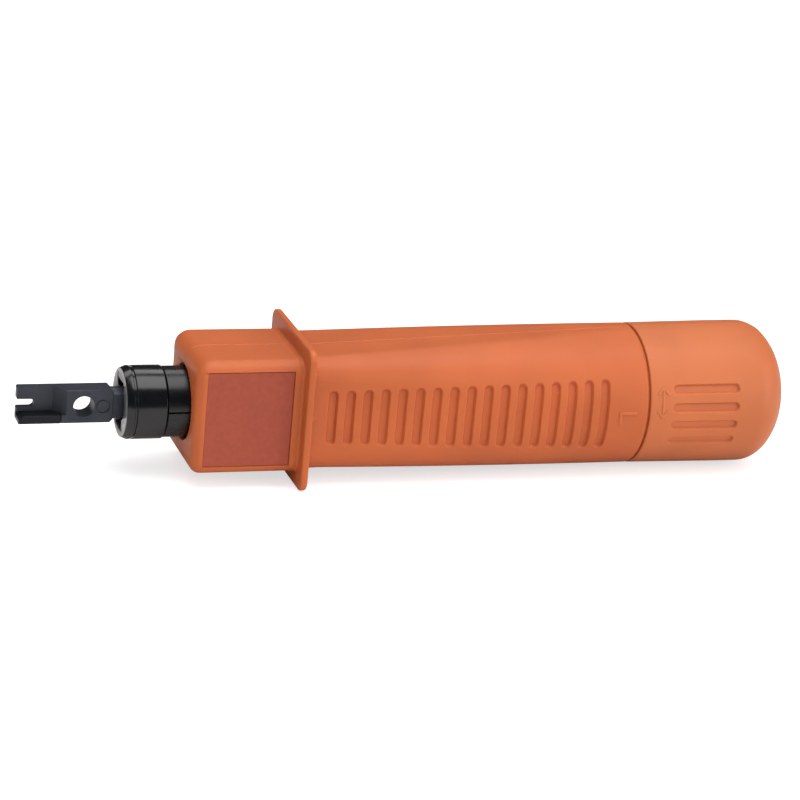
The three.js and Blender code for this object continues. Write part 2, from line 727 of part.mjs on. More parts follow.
function hammer() {
  const spring = TUBE_BORE / 2 - MAIN_WIRE - 1.6;
  const body = turned([
    [hammerX, 0], [hammerX, hammerRadius - 0.5], [hammerX + 0.5, hammerRadius],
    [hammerEndX, hammerRadius], [hammerEndX, spring], [hammerEndX + 3, spring - 0.4],
    [hammerEndX + 3, 0],
  ], 32);
  const bore = rod(hammerX - 1, hammerBoreEndX, boreRadius, 20);
  const latchSlot = block(
    latchX - 0.2, latchX + LATCH_THICKNESS + 0.2, -3.5, 3.5, -REACH, latchSlotTop);
  const camDepth = camLow - camSlope * (camEndX - camX) - 0.4;
  const camGroove = block(hammerX - 1, hammerEndX + 4, -2.2, 2.2, -REACH, -camDepth);
  return cut(body, bore, latchSlot, camGroove);
}

const latchTop = 3.4;
const latchSlotTop = latchTop + LATCH_SHIFT + 1.4;

// The latch plate: its hole stands off the axis until the cam has lifted it.
function latchPlate() {
  const x1 = latchX + LATCH_THICKNESS;
  const wide = block(latchX, x1, -3.3, 3.3, -4, latchTop);
  const footDepth = camLow - RUNNING_GAP;
  const foot = slopedBlock(latchX, x1, 3.5, 3.5, footDepth, 1.8);
  const underFoot = slopedBlock(
    latchX - 1, x1 + 1, footDepth + camSlope, footDepth - camSlope * (LATCH_THICKNESS + 1),
    footDepth + 3, 3);
  const hole = rod(latchX - 1, x1 + 1, boreRadius, 20).translate([0, 0, -LATCH_SHIFT]);
  return cut(join(wide, foot), underFoot, hole);
}

function latchSpring() {
  const geometry = coil(latchSlotTop - latchTop - 0.2, 0.85, 0.3, 3);
  geometry.rotateY(-Math.PI / 2);
  geometry.translate(latchX + LATCH_THICKNESS / 2, 0, latchTop + 0.1);
  return solidOf(geometry);
}

function returnSpring() {
  return coilBetween(flangeEndX + 0.2, washerX - 0.2, 6.6, RETURN_WIRE, 5);
}

function mainSpring() {
  const meanRadius = TUBE_BORE / 2 - MAIN_WIRE / 2 - 0.5;
  return coilBetween(hammerEndX + 0.2, nutX - 0.2, meanRadius, MAIN_WIRE, 8);
}

// ---- Cap ----------------------------------------------------------------------------
const capBoreRadius = capRadius - CAP_WALL;

function domePoint(angle) {
  return [domeX + DOME_LENGTH * Math.sin(angle), capRadius * Math.cos(angle)];
}

// The cup's outside profile, open at the front and domed behind, with a boss for the screw.
function capProfile() {
  const rim = rearRadius + 0.05;
  const domeSteps = 6;
  const dome = [];
  for (let step = 1; step < domeSteps; step += 1) {
    dome.push(domePoint(step / domeSteps * Math.PI / 2));
  }
  const bore = SCREW_DIAMETER / 2 + RUNNING_GAP;
  const boss = SCREW_DIAMETER / 2 + 3;
  const blind = screwSeatX + 7.2;
  return [
    [blind, 0], [blind, bore], [screwSeatX, bore],
    [screwSeatX, boss], [endX - 4, boss], [domeX + 5.8, capBoreRadius - 3.5],
    [domeX + 2.5, capBoreRadius - 1], [domeX - 2, capBoreRadius], [capX, capBoreRadius],
    [capX, rim - 0.3], [capX + 0.3, rim], [domeX - 6, capRadius], [domeX, capRadius],
    ...dome, [endX, 0],
  ];
}

function capSlots() {
  const start = jointX + CAP_SLOT_FRONT;
  const length = domeX - CAP_SLOT_REAR - start;
  const middle = start + length / 2;
  const shape = stadium(0, CAP_SLOT_WIDTH, length);
  const slots = [];
  for (const flip of [0, 180]) {
    for (const angle of CAP_SLOT_ANGLES) {
      const geometry = new THREE.ExtrudeGeometry(shape, {
        depth: 6, bevelEnabled: false, curveSegments: 2,
      });
      geometry.rotateX(Math.PI / 2);
      geometry.rotateY(Math.PI / 2);
      geometry.translate(middle, -(capRadius - CAP_SLOT_DEPTH), 0);
      geometry.rotateX(THREE.MathUtils.degToRad(flip - angle));
      slots.push(solidOf(geometry));
    }
  }
  return join(...slots);
}

// The turning arrow: a stem round the cap with a head at each end.
function turnArrow() {
  const x = jointX + 3.7;
  const reach = 2.3;
  const head = 1.3;
  const stem = MARK_STROKE / 2;
  const outline = new THREE.Shape([
    new THREE.Vector2(x, reach + head),
    new THREE.Vector2(x - head, reach - 0.3),
    new THREE.Vector2(x - stem, reach - 0.3),
    new THREE.Vector2(x - stem, -reach + 0.3),
    new THREE.Vector2(x - head, -reach + 0.3),
    new THREE.Vector2(x, -reach - head),
    new THREE.Vector2(x + head, -reach + 0.3),
    new THREE.Vector2(x + stem, -reach + 0.3),
    new THREE.Vector2(x + stem, reach - 0.3),
    new THREE.Vector2(x + head, reach - 0.3),
  ].reverse());
  const raised = turned([
    [capX, 0], [capX, rearRadius + 0.1 + MARK_HEIGHT],
    [domeX, capRadius + 0.1 + MARK_HEIGHT], [domeX, 0],
  ]);
  return plate(outline, -REACH, -8).intersect(raised).rotate([-ARROW_ANGLE, 0, 0]);
}

function endCap() {
  const cup = turned(capProfile(), 36);
  const hollow = rod(capX - 1, screwSeatX, capBoreRadius, 40);
  return join(cut(cup, capSlots()), cut(turnArrow(), hollow));
}

function capHub() {
  const inner = tubeRadius + FIT_GAP;
  const ringX = rearWallX - 1.3;
  const hub = join(
    tube(rearWallX - 2, capX + 1, inner, hubRadius),
    tube(capX + 0.6, capX + 3.6, inner, capBoreRadius - FIT_GAP),
  );
  return cut(hub, tube(ringX, ringX + 1.1, hubRadius - 1, hubRadius + 2));
}

// A spring-steel C ring in the hub's groove keeps the cap on the grip.
function retainingRing() {
  const ringX = rearWallX - 1.1;
  const body = tube(ringX, ringX + 0.7, hubRadius - 0.8, hubRadius + 1.5);
  return cut(body, block(ringX - 1, ringX + 2, -2.2, 2.2, 0, REACH));
}

function adjusterScrew() {
  const head = rod(screwHeadX, screwSeatX - 0.1, 4.6, 6);
  const shank = rod(nutX - NUT_TRAVEL - 3, screwSeatX + 7, SCREW_DIAMETER / 2, 24);
  return join(head, shank);
}

function springSeatNut() {
  const body = rod(nutX, nutX + NUT_LENGTH, hammerRadius, 32);
  const lug = tubeRadius - 0.2;
  const lugs = block(nutX, nutX + NUT_LENGTH, -lug, lug, -1.5, 1.5);
  const hole = rod(nutX - 1, nutX + NUT_LENGTH + 1, SCREW_DIAMETER / 2 + RUNNING_GAP, 24);
  return cut(join(body, lugs), hole);
}

// ---- Materials ----------------------------------------------------------------------
function material(color, roughness, metalness) {
  return new THREE.MeshStandardMaterial({ color, roughness, metalness });
}

const orangePlastic = material(0xcd693c, 0.5, 0);
const capPlastic = material(0xde8555, 0.5, 0);
const labelFilm = material(0xa85038, 0.7, 0);
const blackSteel = material(0x24262c, 0.4, 0.7);
const bladeSteel = material(0x2a2c33, 0.45, 0.7);
const brightSteel = material(0xb9bcc0, 0.3, 1);
const springSteel = material(0x8c8f95, 0.35, 1);
const whiteAcetal = material(0xe8e6df, 0.5, 0);

// ---- Assembly -----------------------------------------------------------------------
const tool = new THREE.Group();

function add(name, solid, finish) {
  const mesh = new THREE.Mesh(geometryOf(solid), finish);
  mesh.name = name;
  tool.add(mesh);
}

add('near_shell', grip.intersect(nearHalf), orangePlastic);
add('far_shell', grip.intersect(farHalf), orangePlastic);
add('near_label', labelPanel(-1), labelFilm);
add('far_label', labelPanel(1), labelFilm);
add('front_bushing', frontBushing(), whiteAcetal);
add('guide_tube', guideTube(), brightSteel);
add('release_cam', releaseCam(), brightSteel);
add('spring_washer', springWasher(), brightSteel);
screwPlaces().forEach((place, i) => add(`shell_screw_${i + 1}`, shellScrew(place), blackSteel));
add('return_spring', returnSpring(), springSteel);
add('main_spring', mainSpring(), springSteel);
add('chuck', chuck(), blackSteel);
add('chuck_sleeve', chuckSleeve(), blackSteel);
add('plunger_rod', plungerRod(), brightSteel);
add('cross_pin', crossPin(0), brightSteel);
add('catch_ball', catchBall(), brightSteel);
add('catch_spring', catchSpring(), springSteel);
add('blade_bar', bladeBar(), bladeSteel);
add('cutter_blade', cutterBlade(), bladeSteel);
add('hammer', hammer(), brightSteel);
add('latch_plate', latchPlate(), brightSteel);
add('latch_spring', latchSpring(), springSteel);
add('end_cap', endCap(), capPlastic);
add('cap_hub', capHub(), whiteAcetal);
add('retaining_ring', retainingRing(), springSteel);
add('adjuster_screw', adjusterScrew(), brightSteel);
add('spring_seat_nut', springSeatNut(), brightSteel);

export default tool;
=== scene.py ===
import math

import bmesh
import bpy
import numpy as np
from mathutils import Matrix, Vector


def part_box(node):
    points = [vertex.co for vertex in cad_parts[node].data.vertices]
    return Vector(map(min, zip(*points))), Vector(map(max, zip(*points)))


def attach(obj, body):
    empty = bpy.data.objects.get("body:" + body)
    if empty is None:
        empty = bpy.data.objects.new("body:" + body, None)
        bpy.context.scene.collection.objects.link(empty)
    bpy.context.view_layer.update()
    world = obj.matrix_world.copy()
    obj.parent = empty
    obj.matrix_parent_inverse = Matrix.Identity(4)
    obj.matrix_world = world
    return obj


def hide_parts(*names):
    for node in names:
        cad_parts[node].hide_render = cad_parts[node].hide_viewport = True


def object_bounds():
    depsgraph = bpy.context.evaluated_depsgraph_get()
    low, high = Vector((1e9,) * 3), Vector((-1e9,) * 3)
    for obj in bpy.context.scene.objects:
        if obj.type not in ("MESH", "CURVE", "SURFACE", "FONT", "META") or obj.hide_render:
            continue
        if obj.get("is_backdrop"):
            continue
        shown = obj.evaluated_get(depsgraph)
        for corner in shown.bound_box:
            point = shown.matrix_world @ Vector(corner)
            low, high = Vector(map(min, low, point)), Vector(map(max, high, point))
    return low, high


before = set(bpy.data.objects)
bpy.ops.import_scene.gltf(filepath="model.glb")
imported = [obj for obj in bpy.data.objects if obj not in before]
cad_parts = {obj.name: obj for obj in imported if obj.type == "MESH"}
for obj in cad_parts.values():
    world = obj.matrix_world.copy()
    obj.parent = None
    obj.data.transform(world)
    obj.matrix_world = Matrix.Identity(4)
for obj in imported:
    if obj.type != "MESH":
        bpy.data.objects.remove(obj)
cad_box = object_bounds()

# ---- Photographer's table -------------------------------------------------------------
# The tool lies on a pale sheet under a large soft box, with weaker ones behind, at the blade
# and at the dome. The room is pale in front for matt surfaces and dark for glossy ones. The
# camera stands a little above the tool, with the blade to the left.
MM = 0.001
scene = bpy.context.scene
scene.view_settings.view_transform = "Standard"

FLOOR_REACH = 3.0  # metres each way
CAMERA_TURN = math.radians(19.115)
CAMERA_RISE = math.radians(19.344)
CAMERA_ROLL = math.radians(5.364)
CAMERA_DISTANCE = 700 * MM
CAMERA_LENS = 137.39
CAMERA_TARGET = Vector((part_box("near_shell")[0].x / MM + 51.573, 0, -0.883)) * MM


def place_camera():
    back = Vector((
        -math.sin(CAMERA_TURN) * math.cos(CAMERA_RISE),
        -math.cos(CAMERA_TURN) * math.cos(CAMERA_RISE),
        math.sin(CAMERA_RISE)))
    level = Vector((math.cos(CAMERA_TURN), -math.sin(CAMERA_TURN), 0))
    upright = back.cross(level)
    right = level * math.cos(CAMERA_ROLL) + upright * math.sin(CAMERA_ROLL)
    up = back.cross(right)
    camera = bpy.data.objects.new("camera", bpy.data.cameras.new("camera"))
    camera.data.lens = CAMERA_LENS
    camera.data.clip_start = 0.01
    camera.matrix_world = Matrix((right, up, back)).transposed().to_4x4()
    camera.location = CAMERA_TARGET + back * CAMERA_DISTANCE
    scene.collection.objects.link(camera)
    scene.camera = camera


def set_inputs(node, **values):
    """Sets a node's inputs by name, with an underline for each space."""
    for name, value in values.items():
        node.inputs[name.replace("_", " ")].default_value = value


def add_node(nodes, kind, **values):
    node = nodes.new("ShaderNode" + kind)
    set_inputs(node, **values)
    return node


def remap(nodes, links, source, **ends):
    """Moves a value evenly from one range to another; each is 0 to 1 unless given."""
    span = add_node(nodes, "MapRange", **ends)
    links.new(source, span.inputs["Value"])
    return span.outputs["Result"]


def choose_by_ray(nodes, links, ray, otherwise, chosen, surface):
    """Shows one shader to one kind of ray and another shader to the rest."""
    path = add_node(nodes, "LightPath")
    mix = add_node(nodes, "MixShader")
    links.new(path.outputs[f"Is {ray} Ray"], mix.inputs["Fac"])
    links.new(otherwise.outputs[0], mix.inputs[1])
    links.new(chosen.outputs[0], mix.inputs[2])
    links.new(mix.outputs[0], surface.inputs["Surface"])


def new_material(name):
    material = bpy.data.materials.new(name)
    material.use_nodes = True
    nodes = material.node_tree.nodes
    return material, nodes, material.node_tree.links, nodes["Principled BSDF"]


def lay_floor():
    sheet = bmesh.new()
    bmesh.ops.create_grid(sheet, x_segments=8, y_segments=8, size=FLOOR_REACH)
    mesh = bpy.data.meshes.new("table_sheet")
    sheet.to_mesh(mesh)
    floor = bpy.data.objects.new("table_sheet", mesh)
    floor.location.z = cad_box[0].z
    scene.collection.objects.link(floor)
    paper, nodes, links, shader = new_material("pale_paper")
    set_inputs(shader, Base_Color=(0.6, 0.6, 0.6, 1), Roughness=0.9, Specular_IOR_Level=0.1,
               Emission_Color=(1, 1, 1, 1), Emission_Strength=0.62)
    grey = add_node(nodes, "BsdfDiffuse", Color=(0.7, 0.68, 0.66, 1))
    choose_by_ray(nodes, links, "Camera", grey, shader, nodes["Material Output"])
    mesh.materials.append(paper)
    floor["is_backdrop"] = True


def soft_box(name, place, width, height, power, on_matt=True):
    """A soft box aimed at the middle of the tool; sizes in metres, power in watts."""
    lamp = bpy.data.lights.new(name, "AREA")
    lamp.shape = "RECTANGLE"
    lamp.size, lamp.size_y = width, height
    lamp.energy = power
    light = bpy.data.objects.new(name, lamp)
    light.location = place
    light.rotation_euler = (Vector() - light.location).to_track_quat("-Z", "Y").to_euler()
    light.visible_diffuse = on_matt
    scene.collection.objects.link(light)


def light_room():
    """Pale in front for matt surfaces, and dark all round for glossy ones."""
    world = bpy.data.worlds.new("room")
    scene.world = world
    world.use_nodes = True
    nodes, links = world.node_tree.nodes, world.node_tree.links
    nodes.clear()
    out = add_node(nodes, "OutputWorld")
    pale = add_node(nodes, "Background", Color=(1, 1, 1, 1))
    facing = add_node(nodes, "VectorMath")
    facing.operation = "DOT_PRODUCT"
    facing.inputs[1].default_value = (0.6, -0.8, 0)
    links.new(add_node(nodes, "TexCoord").outputs["Generated"], facing.inputs[0])
    strength = remap(nodes, links, facing.outputs["Value"],
                     From_Min=-0.2, To_Min=0.35, To_Max=1.75)
    links.new(strength, pale.inputs["Strength"])
    dark = add_node(nodes, "Background", Color=(0.9, 0.94, 1, 1), Strength=0.05)
    choose_by_ray(nodes, links, "Glossy", pale, dark, out)
    soft_box("main_box", (0.0, -0.1, 0.85), 0.9, 0.7, 5.9)
    soft_box("rear_box", (-0.05, 0.5, 0.7), 0.9, 0.3, 2.2, on_matt=False)
    soft_box("end_box", (-0.8, -0.1, 0.3), 0.5, 0.5, 0.7)
    soft_box("dome_box", (0.7, -0.5, 0.2), 0.3, 0.4, 1.6)


place_camera()
lay_floor()
light_room()

# ---- Grip shells ----------------------------------------------------------------------
# Two mirror halves of satin orange plastic, injection moulded and screwed together on the
# tool's middle plane. The finger guard, ribs, grooves and label recesses are moulded in.
grip_low, grip_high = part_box("near_shell")
bushing_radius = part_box("front_bushing")[1].z / MM
label_low, label_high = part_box("near_label")
tube_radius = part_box("spring_washer")[1].z / MM
hub_radius = tube_radius + 3.1

FRONT_WALL = 3.0
REAR_WALL = 5.05
BODY_CORNER = 3.0
EDGE_SIDE = 2.7  # rounding of the front face towards the labels
EDGE_FAR = 4.0  # the same on the far half
EDGE_TOP = 3.9  # towards the upper side
EDGE_BOTTOM = 2.2  # and towards the lower side
MOUTH_CLEARANCE = 0.3  # chuck to the hole in the front face
MOUTH_EDGE = 0.55
JOINT_EDGE = 0.35  # rounding at the cap joint
FACE_STEP = 0.35  # the far half's front face is set back this much below its top strip
FACE_STEP_HEIGHT = 9.0
FIT = 0.15  # play round a fitted piece
LABEL_RECESS = 0.5
RECESS_EDGE = np.array([-0.12, -0.06, 0, 0.06, 0.12])  # mesh lines across the recess's edge
GUARD_MARGIN = 2.2
GUARD_THICKNESS = 1.6
GUARD_CORNER = 2.2
GUARD_EDGE = 0.45
GUARD_ROOT = 0.5
GUARD_REAR_CORNER = 4.4  # the grip's corner radius just behind the guard
GROOVES = 17
GROOVE_WIDTH = 2.25
GROOVE_DEPTH = 0.75
GROOVE_HEIGHTS = (12.8, 16.8)
GROOVE_MARGINS = (5.4, 10.6)  # guard to the first groove, last groove to the cap joint
SHELL_WALL = 2.4
HUB_BORE = 11.6
RIB_THICKNESS = 2.0
SEAM = 0.01
SEAM_BEAD = 0.09  # height of the fine line along the seam
LIP = (0.5, 0.7)  # length and depth of the lip behind the cap joint
SMOOTH_ANGLE = 32  # degrees; sharper edges stay crisp
SCREW_SEAT = 8.0  # screw heads from the seam
POST_REACH = 8.9
POST_RADIUS = 2.1
PILOT = (8.3, 1.15)  # half length and radius of a screw's hole
COUNTERBORE = (12, 1.95)  # depth and radius over a screw's head

front_x = grip_low.x / MM
joint_x = grip_high.x / MM
body_half = bushing_radius + FRONT_WALL
guard_half = grip_high.z / MM
mouth_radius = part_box("chuck")[1].z / MM + MOUTH_CLEARANCE
rear_radius = hub_radius + REAR_WALL
label_x = (label_low.x / MM - FIT, label_high.x / MM + FIT)
label_z = label_high.z / MM + FIT
guard_x = label_x[1] + GUARD_MARGIN
guard_end = guard_x + GUARD_THICKNESS
taper_x = guard_end + 4
groove_xs = np.linspace(
    guard_end + GROOVE_MARGINS[0], joint_x - GROOVE_MARGINS[1], GROOVES)
bore_radius = tube_radius + FIT


def x_span(node):
    """Where a CAD node starts and ends along the tool, in millimetres."""
    return [corner.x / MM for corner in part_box(node)]


def ease(low, high, value):
    """0 below the low value, 1 above the high one, and a smooth step between them."""
    t = np.clip((value - low) / (high - low), 0, 1)
    return t * t * (3 - 2 * t)


def merged(*lists):
    """One rising list of places, without near doubles."""
    places = np.unique(np.round(np.concatenate(lists), 4))
    return places[np.concatenate(([True], np.diff(places) > 0.004))]


def side_points(half, corner, distance):
    """A walk from a side's middle round its corner: how far along, how far out, and the
    outward direction in the same two terms."""
    flat = half - corner
    turn = np.clip((np.abs(distance) - flat) / corner, 0, None)
    ahead = np.sign(distance)
    along = np.where(turn > 0, ahead * (flat + corner * np.sin(turn)), distance)
    return along, flat + corner * np.cos(turn), ahead * np.sin(turn), np.cos(turn)


def half_ring(x, half, corner, places):
    """Half a rounded square at one station. Place 0 is the middle of the labelled side,
    -2 and 2 are the middles of the lower and upper sides."""
    quarter = half - corner + corner * math.pi / 4
    beyond = np.abs(places) > 1
    distance = np.where(beyond, 2 - np.abs(places), places) * quarter
    along, out, along_n, out_n = side_points(half, corner, distance)
    flip = np.sign(places)
    y = np.where(beyond, -along, -out)
    z = np.where(beyond, flip * out, along)
    normal_y = np.where(beyond, -along_n, -out_n)
    normal_z = np.where(beyond, flip * out_n, along_n)
    points = np.stack([np.broadcast_to(x, y.shape), y, z], axis=-1)
    return points, np.stack([np.zeros_like(y), normal_y, normal_z], axis=-1)


def grip_section(x):
    widen = np.clip((x - taper_x) / (joint_x - taper_x), 0, 1)
    half = body_half + (rear_radius - body_half) * widen
    if x < guard_end:
        return half, BODY_CORNER
    round_off = (x - guard_end) / (joint_x - guard_end)
    return half, GUARD_REAR_CORNER + (half - GUARD_REAR_CORNER) * round_off


def shell_places():
    quarter = body_half - BODY_CORNER + BODY_CORNER * math.pi / 4
    flat = body_half - BODY_CORNER
    label_edge = flat + BODY_CORNER * math.asin((label_z - flat) / BODY_CORNER)
    near = np.concatenate([
        np.arange(0, 5.2, 0.7), np.arange(5.2, 8.9, 0.16), np.arange(9.2, quarter, 0.35),
        label_edge + RECESS_EDGE]) / quarter
    seam = 2 - np.array([0, 0.06, 0.12, 0.18, 0.26, 0.4, 0.7, 1.2, 1.8]) / quarter
    far = np.concatenate([np.arange(1, 1.35, 0.028), np.arange(1.35, 1.85, 0.06)])
    upper = merged(near, far, seam)
    return merged(-upper, upper)


def groove_stations():
    wall = np.array([0, 0.6, 0.75, 0.85, 0.95, 1.05, 1.15, 1.25, 1.4, 2.01])
    return merged(*[x + side * wall for x in groove_xs for side in (-1, 1)])


def grip_rows(places, edge_side):
    """The half shell's skin outside as rows of points, back from the mouth to the joint,
    each with its outward directions."""
    rows = []
    wide = mouth_radius + MOUTH_EDGE
    mouth = half_ring(front_x, wide, wide, places)
    for turn in (90, 68, 45, 22):
        bend = math.radians(turn)
        radius = wide - MOUTH_EDGE * math.sin(bend)
        x = front_x + MOUTH_EDGE * (1 - math.cos(bend))
        rows.append(half_ring(x, radius, radius, places))
    rows.append(mouth)
    edge_rows = []
    for turn in np.linspace(0, math.pi / 2, 9):
        inset = 1 - math.sin(turn)
        half = body_half - edge_side * inset
        points, normals = half_ring(
            front_x, half, max(BODY_CORNER - edge_side * inset, 0.9), places)
        end = np.where(points[:, 2] > 0, EDGE_TOP, EDGE_BOTTOM)
        points[:, 2] *= (body_half - end * inset) / half
        depth = edge_side + (end - edge_side) * normals[:, 2] ** 2
        points[:, 0] = front_x + depth * (1 - math.cos(turn))
        edge_rows.append((points, normals))
    for share in (0.25, 0.5, 0.75):
        rows.append((mouth[0] + (edge_rows[0][0] - mouth[0]) * share, mouth[1]))
    rows += edge_rows
    front = merged(label_x[0] + RECESS_EDGE, label_x[1] + RECESS_EDGE,
                   np.linspace(label_x[0] + 1, label_x[1] - 1, 10),
                   [front_x + 4.1, guard_x - 1.2, guard_x - GUARD_ROOT])
    rows += [half_ring(x, *grip_section(x), places) for x in front[front > front_x + 4]]
    rows += guard_rows(places)
    back = groove_stations()
    back = merged(back, np.arange(guard_end + GUARD_ROOT, back[0] - 0.5, 0.8),
                  np.arange(back[-1] + 0.8, joint_x - 0.4, 0.8))
    rows += [half_ring(x, *grip_section(x), places) for x in back]
    for turn in np.linspace(0, math.pi / 2, 5):
        radius = rear_radius - JOINT_EDGE * (1 - math.cos(turn))
        x = joint_x - JOINT_EDGE * (1 - math.sin(turn))
        rows.append(half_ring(x, radius, radius, places))
    lip_x, lip_radius = joint_x + LIP[0], rear_radius - LIP[1]
    for x, radius in ((joint_x, lip_radius), (lip_x, lip_radius)):
        rows.append(half_ring(x, radius, radius, places))
    return rows


def guard_rows(places):
    rows = []
    for x0, way in ((guard_x, -1), (guard_end, 1)):
        face = []
        half, corner = grip_section(x0)
        for turn in np.linspace(0, math.pi / 2, 5):
            lift = GUARD_ROOT * (1 - math.cos(turn))
            x = x0 + way * GUARD_ROOT * (1 - math.sin(turn))
            face.append(half_ring(x, half + lift, corner + lift, places))
        top = guard_half - GUARD_EDGE
        for share in (0.35, 0.7, 1):
            radius = corner + GUARD_ROOT + (GUARD_CORNER - corner - GUARD_ROOT) * share
            reach = half + GUARD_ROOT + (top - half - GUARD_ROOT) * share
            face.append(half_ring(x0, reach, radius, places))
        for turn in np.linspace(math.pi / 8, math.pi / 2, 4):
            lift = GUARD_EDGE * math.sin(turn)
            x = x0 - way * GUARD_EDGE * (1 - math.cos(turn))
            face.append(half_ring(x, top + lift, GUARD_CORNER + lift / 2, places))
        rows += face if way < 0 else face[::-1]
    return rows


def bore_rows(places):
    """The bore from the cap's end to the mouth: the hub's seat, four ribbed bays round the
    guide tube, the spring chamber and the bushing's seat."""
    tube_start = x_span("guide_tube")[0]
    seat_x = x_span("cap_hub")[0] + 2
    bushing_start, bushing_end = x_span("front_bushing")
    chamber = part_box("plunger_rod")[1].z / MM + 0.3

    def rings(*stations):
        return [half_ring(x, radius, radius, places) for x, radius in stations]

    rows = rings(
        (joint_x + LIP[0], HUB_BORE), (seat_x, HUB_BORE), (seat_x, HUB_BORE + 1.6),
        (seat_x - 3.5, HUB_BORE + 1.6), (seat_x - 3.5, bore_radius))
    bays = np.linspace(seat_x - 4.5, tube_start + 4.5, 5)
    for rear, ahead in zip(bays[:-1], bays[1:]):
        start, end = rear - RIB_THICKNESS / 2, ahead + RIB_THICKNESS / 2
        rows += rings((start, bore_radius))
        for x in np.linspace(start, end, 4):
            half, corner = grip_section(x)
            rows.append(half_ring(x, half - SHELL_WALL, max(corner - SHELL_WALL, 0.9), places))
        rows += rings((end, bore_radius))
    return rows + rings(
        (tube_start, bore_radius), (tube_start, chamber), (bushing_end + FIT, chamber),
        (bushing_end + FIT, bushing_radius + FIT), (bushing_start - FIT, bushing_radius + FIT),
        (bushing_start - FIT, mouth_radius))


def carve(points, normals):
    """Presses the seam bead, the grooves and the label recess into the outside."""
    x, y, z = points[..., 0], points[..., 1], points[..., 2]
    bead = SEAM_BEAD * (1 - ease(0.08, 0.26, np.abs(y))) * (x > front_x + 1)
    station = groove_xs[np.abs(x[..., None] - groove_xs).argmin(axis=-1)]
    along = (station - groove_xs[0]) / (groove_xs[-1] - groove_xs[0])
    height = GROOVE_HEIGHTS[0] + (GROOVE_HEIGHTS[1] - GROOVE_HEIGHTS[0]) * along
    beyond = np.clip(np.abs(z) - (height - GROOVE_WIDTH) / 2, 0, None)
    edge = np.hypot(x - station, beyond) - GROOVE_WIDTH / 2
    groove = GROOVE_DEPTH * (1 - ease(-0.42, 0.1, edge))
    carved = points + normals * (bead - groove)[..., None]
    middle, reach = sum(label_x) / 2, (label_x[1] - label_x[0]) / 2
    frame_edge = np.maximum(np.abs(x - middle) - reach, np.abs(z) - label_z)
    sunk = (1 - ease(-0.06, 0.06, frame_edge)) * (y < -body_half / 2)
    floor = -(body_half - LABEL_RECESS)
    carved[..., 1] += (np.maximum(carved[..., 1], floor) - carved[..., 1]) * sunk
    return carved


def shade(mesh, smooth_angle):
    """Smooth shading, with edges sharp beyond the angle in degrees."""
    mesh.shade_smooth()
    mesh.set_sharp_from_angle(angle=math.radians(smooth_angle))


def add_piece(name, points, faces, smooth_angle=SMOOTH_ANGLE):
    """A mesh from points in millimetres, with its faces turned outwards."""
    mesh = bpy.data.meshes.new(name)
    mesh.from_pydata((np.asarray(points, float) * MM).tolist(), [], faces)
    shape = bmesh.new()
    shape.from_mesh(mesh)
    bmesh.ops.recalc_face_normals(shape, faces=shape.faces)
    shape.to_mesh(mesh)
    shape.free()
    shade(mesh, smooth_angle)
    piece = bpy.data.objects.new(name, mesh)
    scene.collection.objects.link(piece)
    return piece


def grid_faces(rows, columns, close_rows=False, close_columns=False):
    row_steps = rows if close_rows else rows - 1
    column_steps = columns if close_columns else columns - 1
    return [
        [row * columns + column,
         row * columns + (column + 1) % columns,
         (row + 1) % rows * columns + (column + 1) % columns,
         (row + 1) % rows * columns + column]
        for row in range(row_steps) for column in range(column_steps)]


def boolean(piece, tool, operation):
    """Combines a piece with a closed tool, which is used up."""
    step = piece.modifiers.new("step", "BOOLEAN")
    step.operation = operation
    step.solver = "MANIFOLD"
    step.object = tool
    graph = bpy.context.evaluated_depsgraph_get()
    result = bpy.data.meshes.new_from_object(piece.evaluated_get(graph))
    piece.modifiers.clear()
    piece.data = result
    bpy.data.objects.remove(tool)


def cut(piece, tool):
    boolean(piece, tool, "DIFFERENCE")


def join(piece, tool):
    boolean(piece, tool, "UNION")


def shell(name, side):
    places = shell_places()
    outside = grip_rows(places, EDGE_SIDE if side < 0 else EDGE_FAR)
    points = np.array([row[0] for row in outside])
    normals = np.array([row[1] for row in outside])
    inside = np.array([row[0] for row in bore_rows(places)])
    skin = np.concatenate([carve(points, normals), inside])
    skin[..., 1] = np.minimum(skin[..., 1], -SEAM)
    skin[..., 1] *= -side
    rows, columns = skin.shape[:2]
    faces = grid_faces(rows, columns, close_rows=True)
    faces.append([row * columns for row in range(rows)])
    faces.append([row * columns + columns - 1 for row in range(rows)][::-1])
    return add_piece(name, skin.reshape(-1, 3), faces)


def object_place(nodes):
    """The one node of object coordinates that all of a material's textures share."""
    place = nodes.get("place") or add_node(nodes, "TexCoord")
    place.name = "place"
    return place


def mottle(nodes, links, scale, detail=3):
    place = object_place(nodes)
    noise = add_node(nodes, "TexNoise", Scale=scale, Detail=detail, Roughness=0.55)
    links.new(place.outputs["Object"], noise.inputs["Vector"])
    return noise.outputs["Fac"]


def ramp(nodes, links, source, stops):
    """A colour ramp from (position, colour) stops."""
    band = add_node(nodes, "ValToRGB")
    elements = band.color_ramp.elements
    while len(elements) < len(stops):
        elements.new(0.5)
    for element, (position, colour) in zip(elements, stops):
        element.position = position
        element.color = (*colour, 1)
    links.new(source, band.inputs["Fac"])
    return band.outputs["Color"]


def tinted(nodes, links, kind, share, first, second):
    """Two colours blended; each value is a socket to link or a constant."""
    blend = add_node(nodes, "Mix")
    blend.data_type = "RGBA"
    blend.blend_type = kind
    for socket, value in ((blend.inputs["Factor"], share), (blend.inputs["A"], first),
                          (blend.inputs["B"], second)):
        if hasattr(value, "is_output"):
            links.new(value, socket)
        elif socket.type == "RGBA":
            socket.default_value = (*value, 1)
        else:
            socket.default_value = value
    return blend.outputs["Result"]


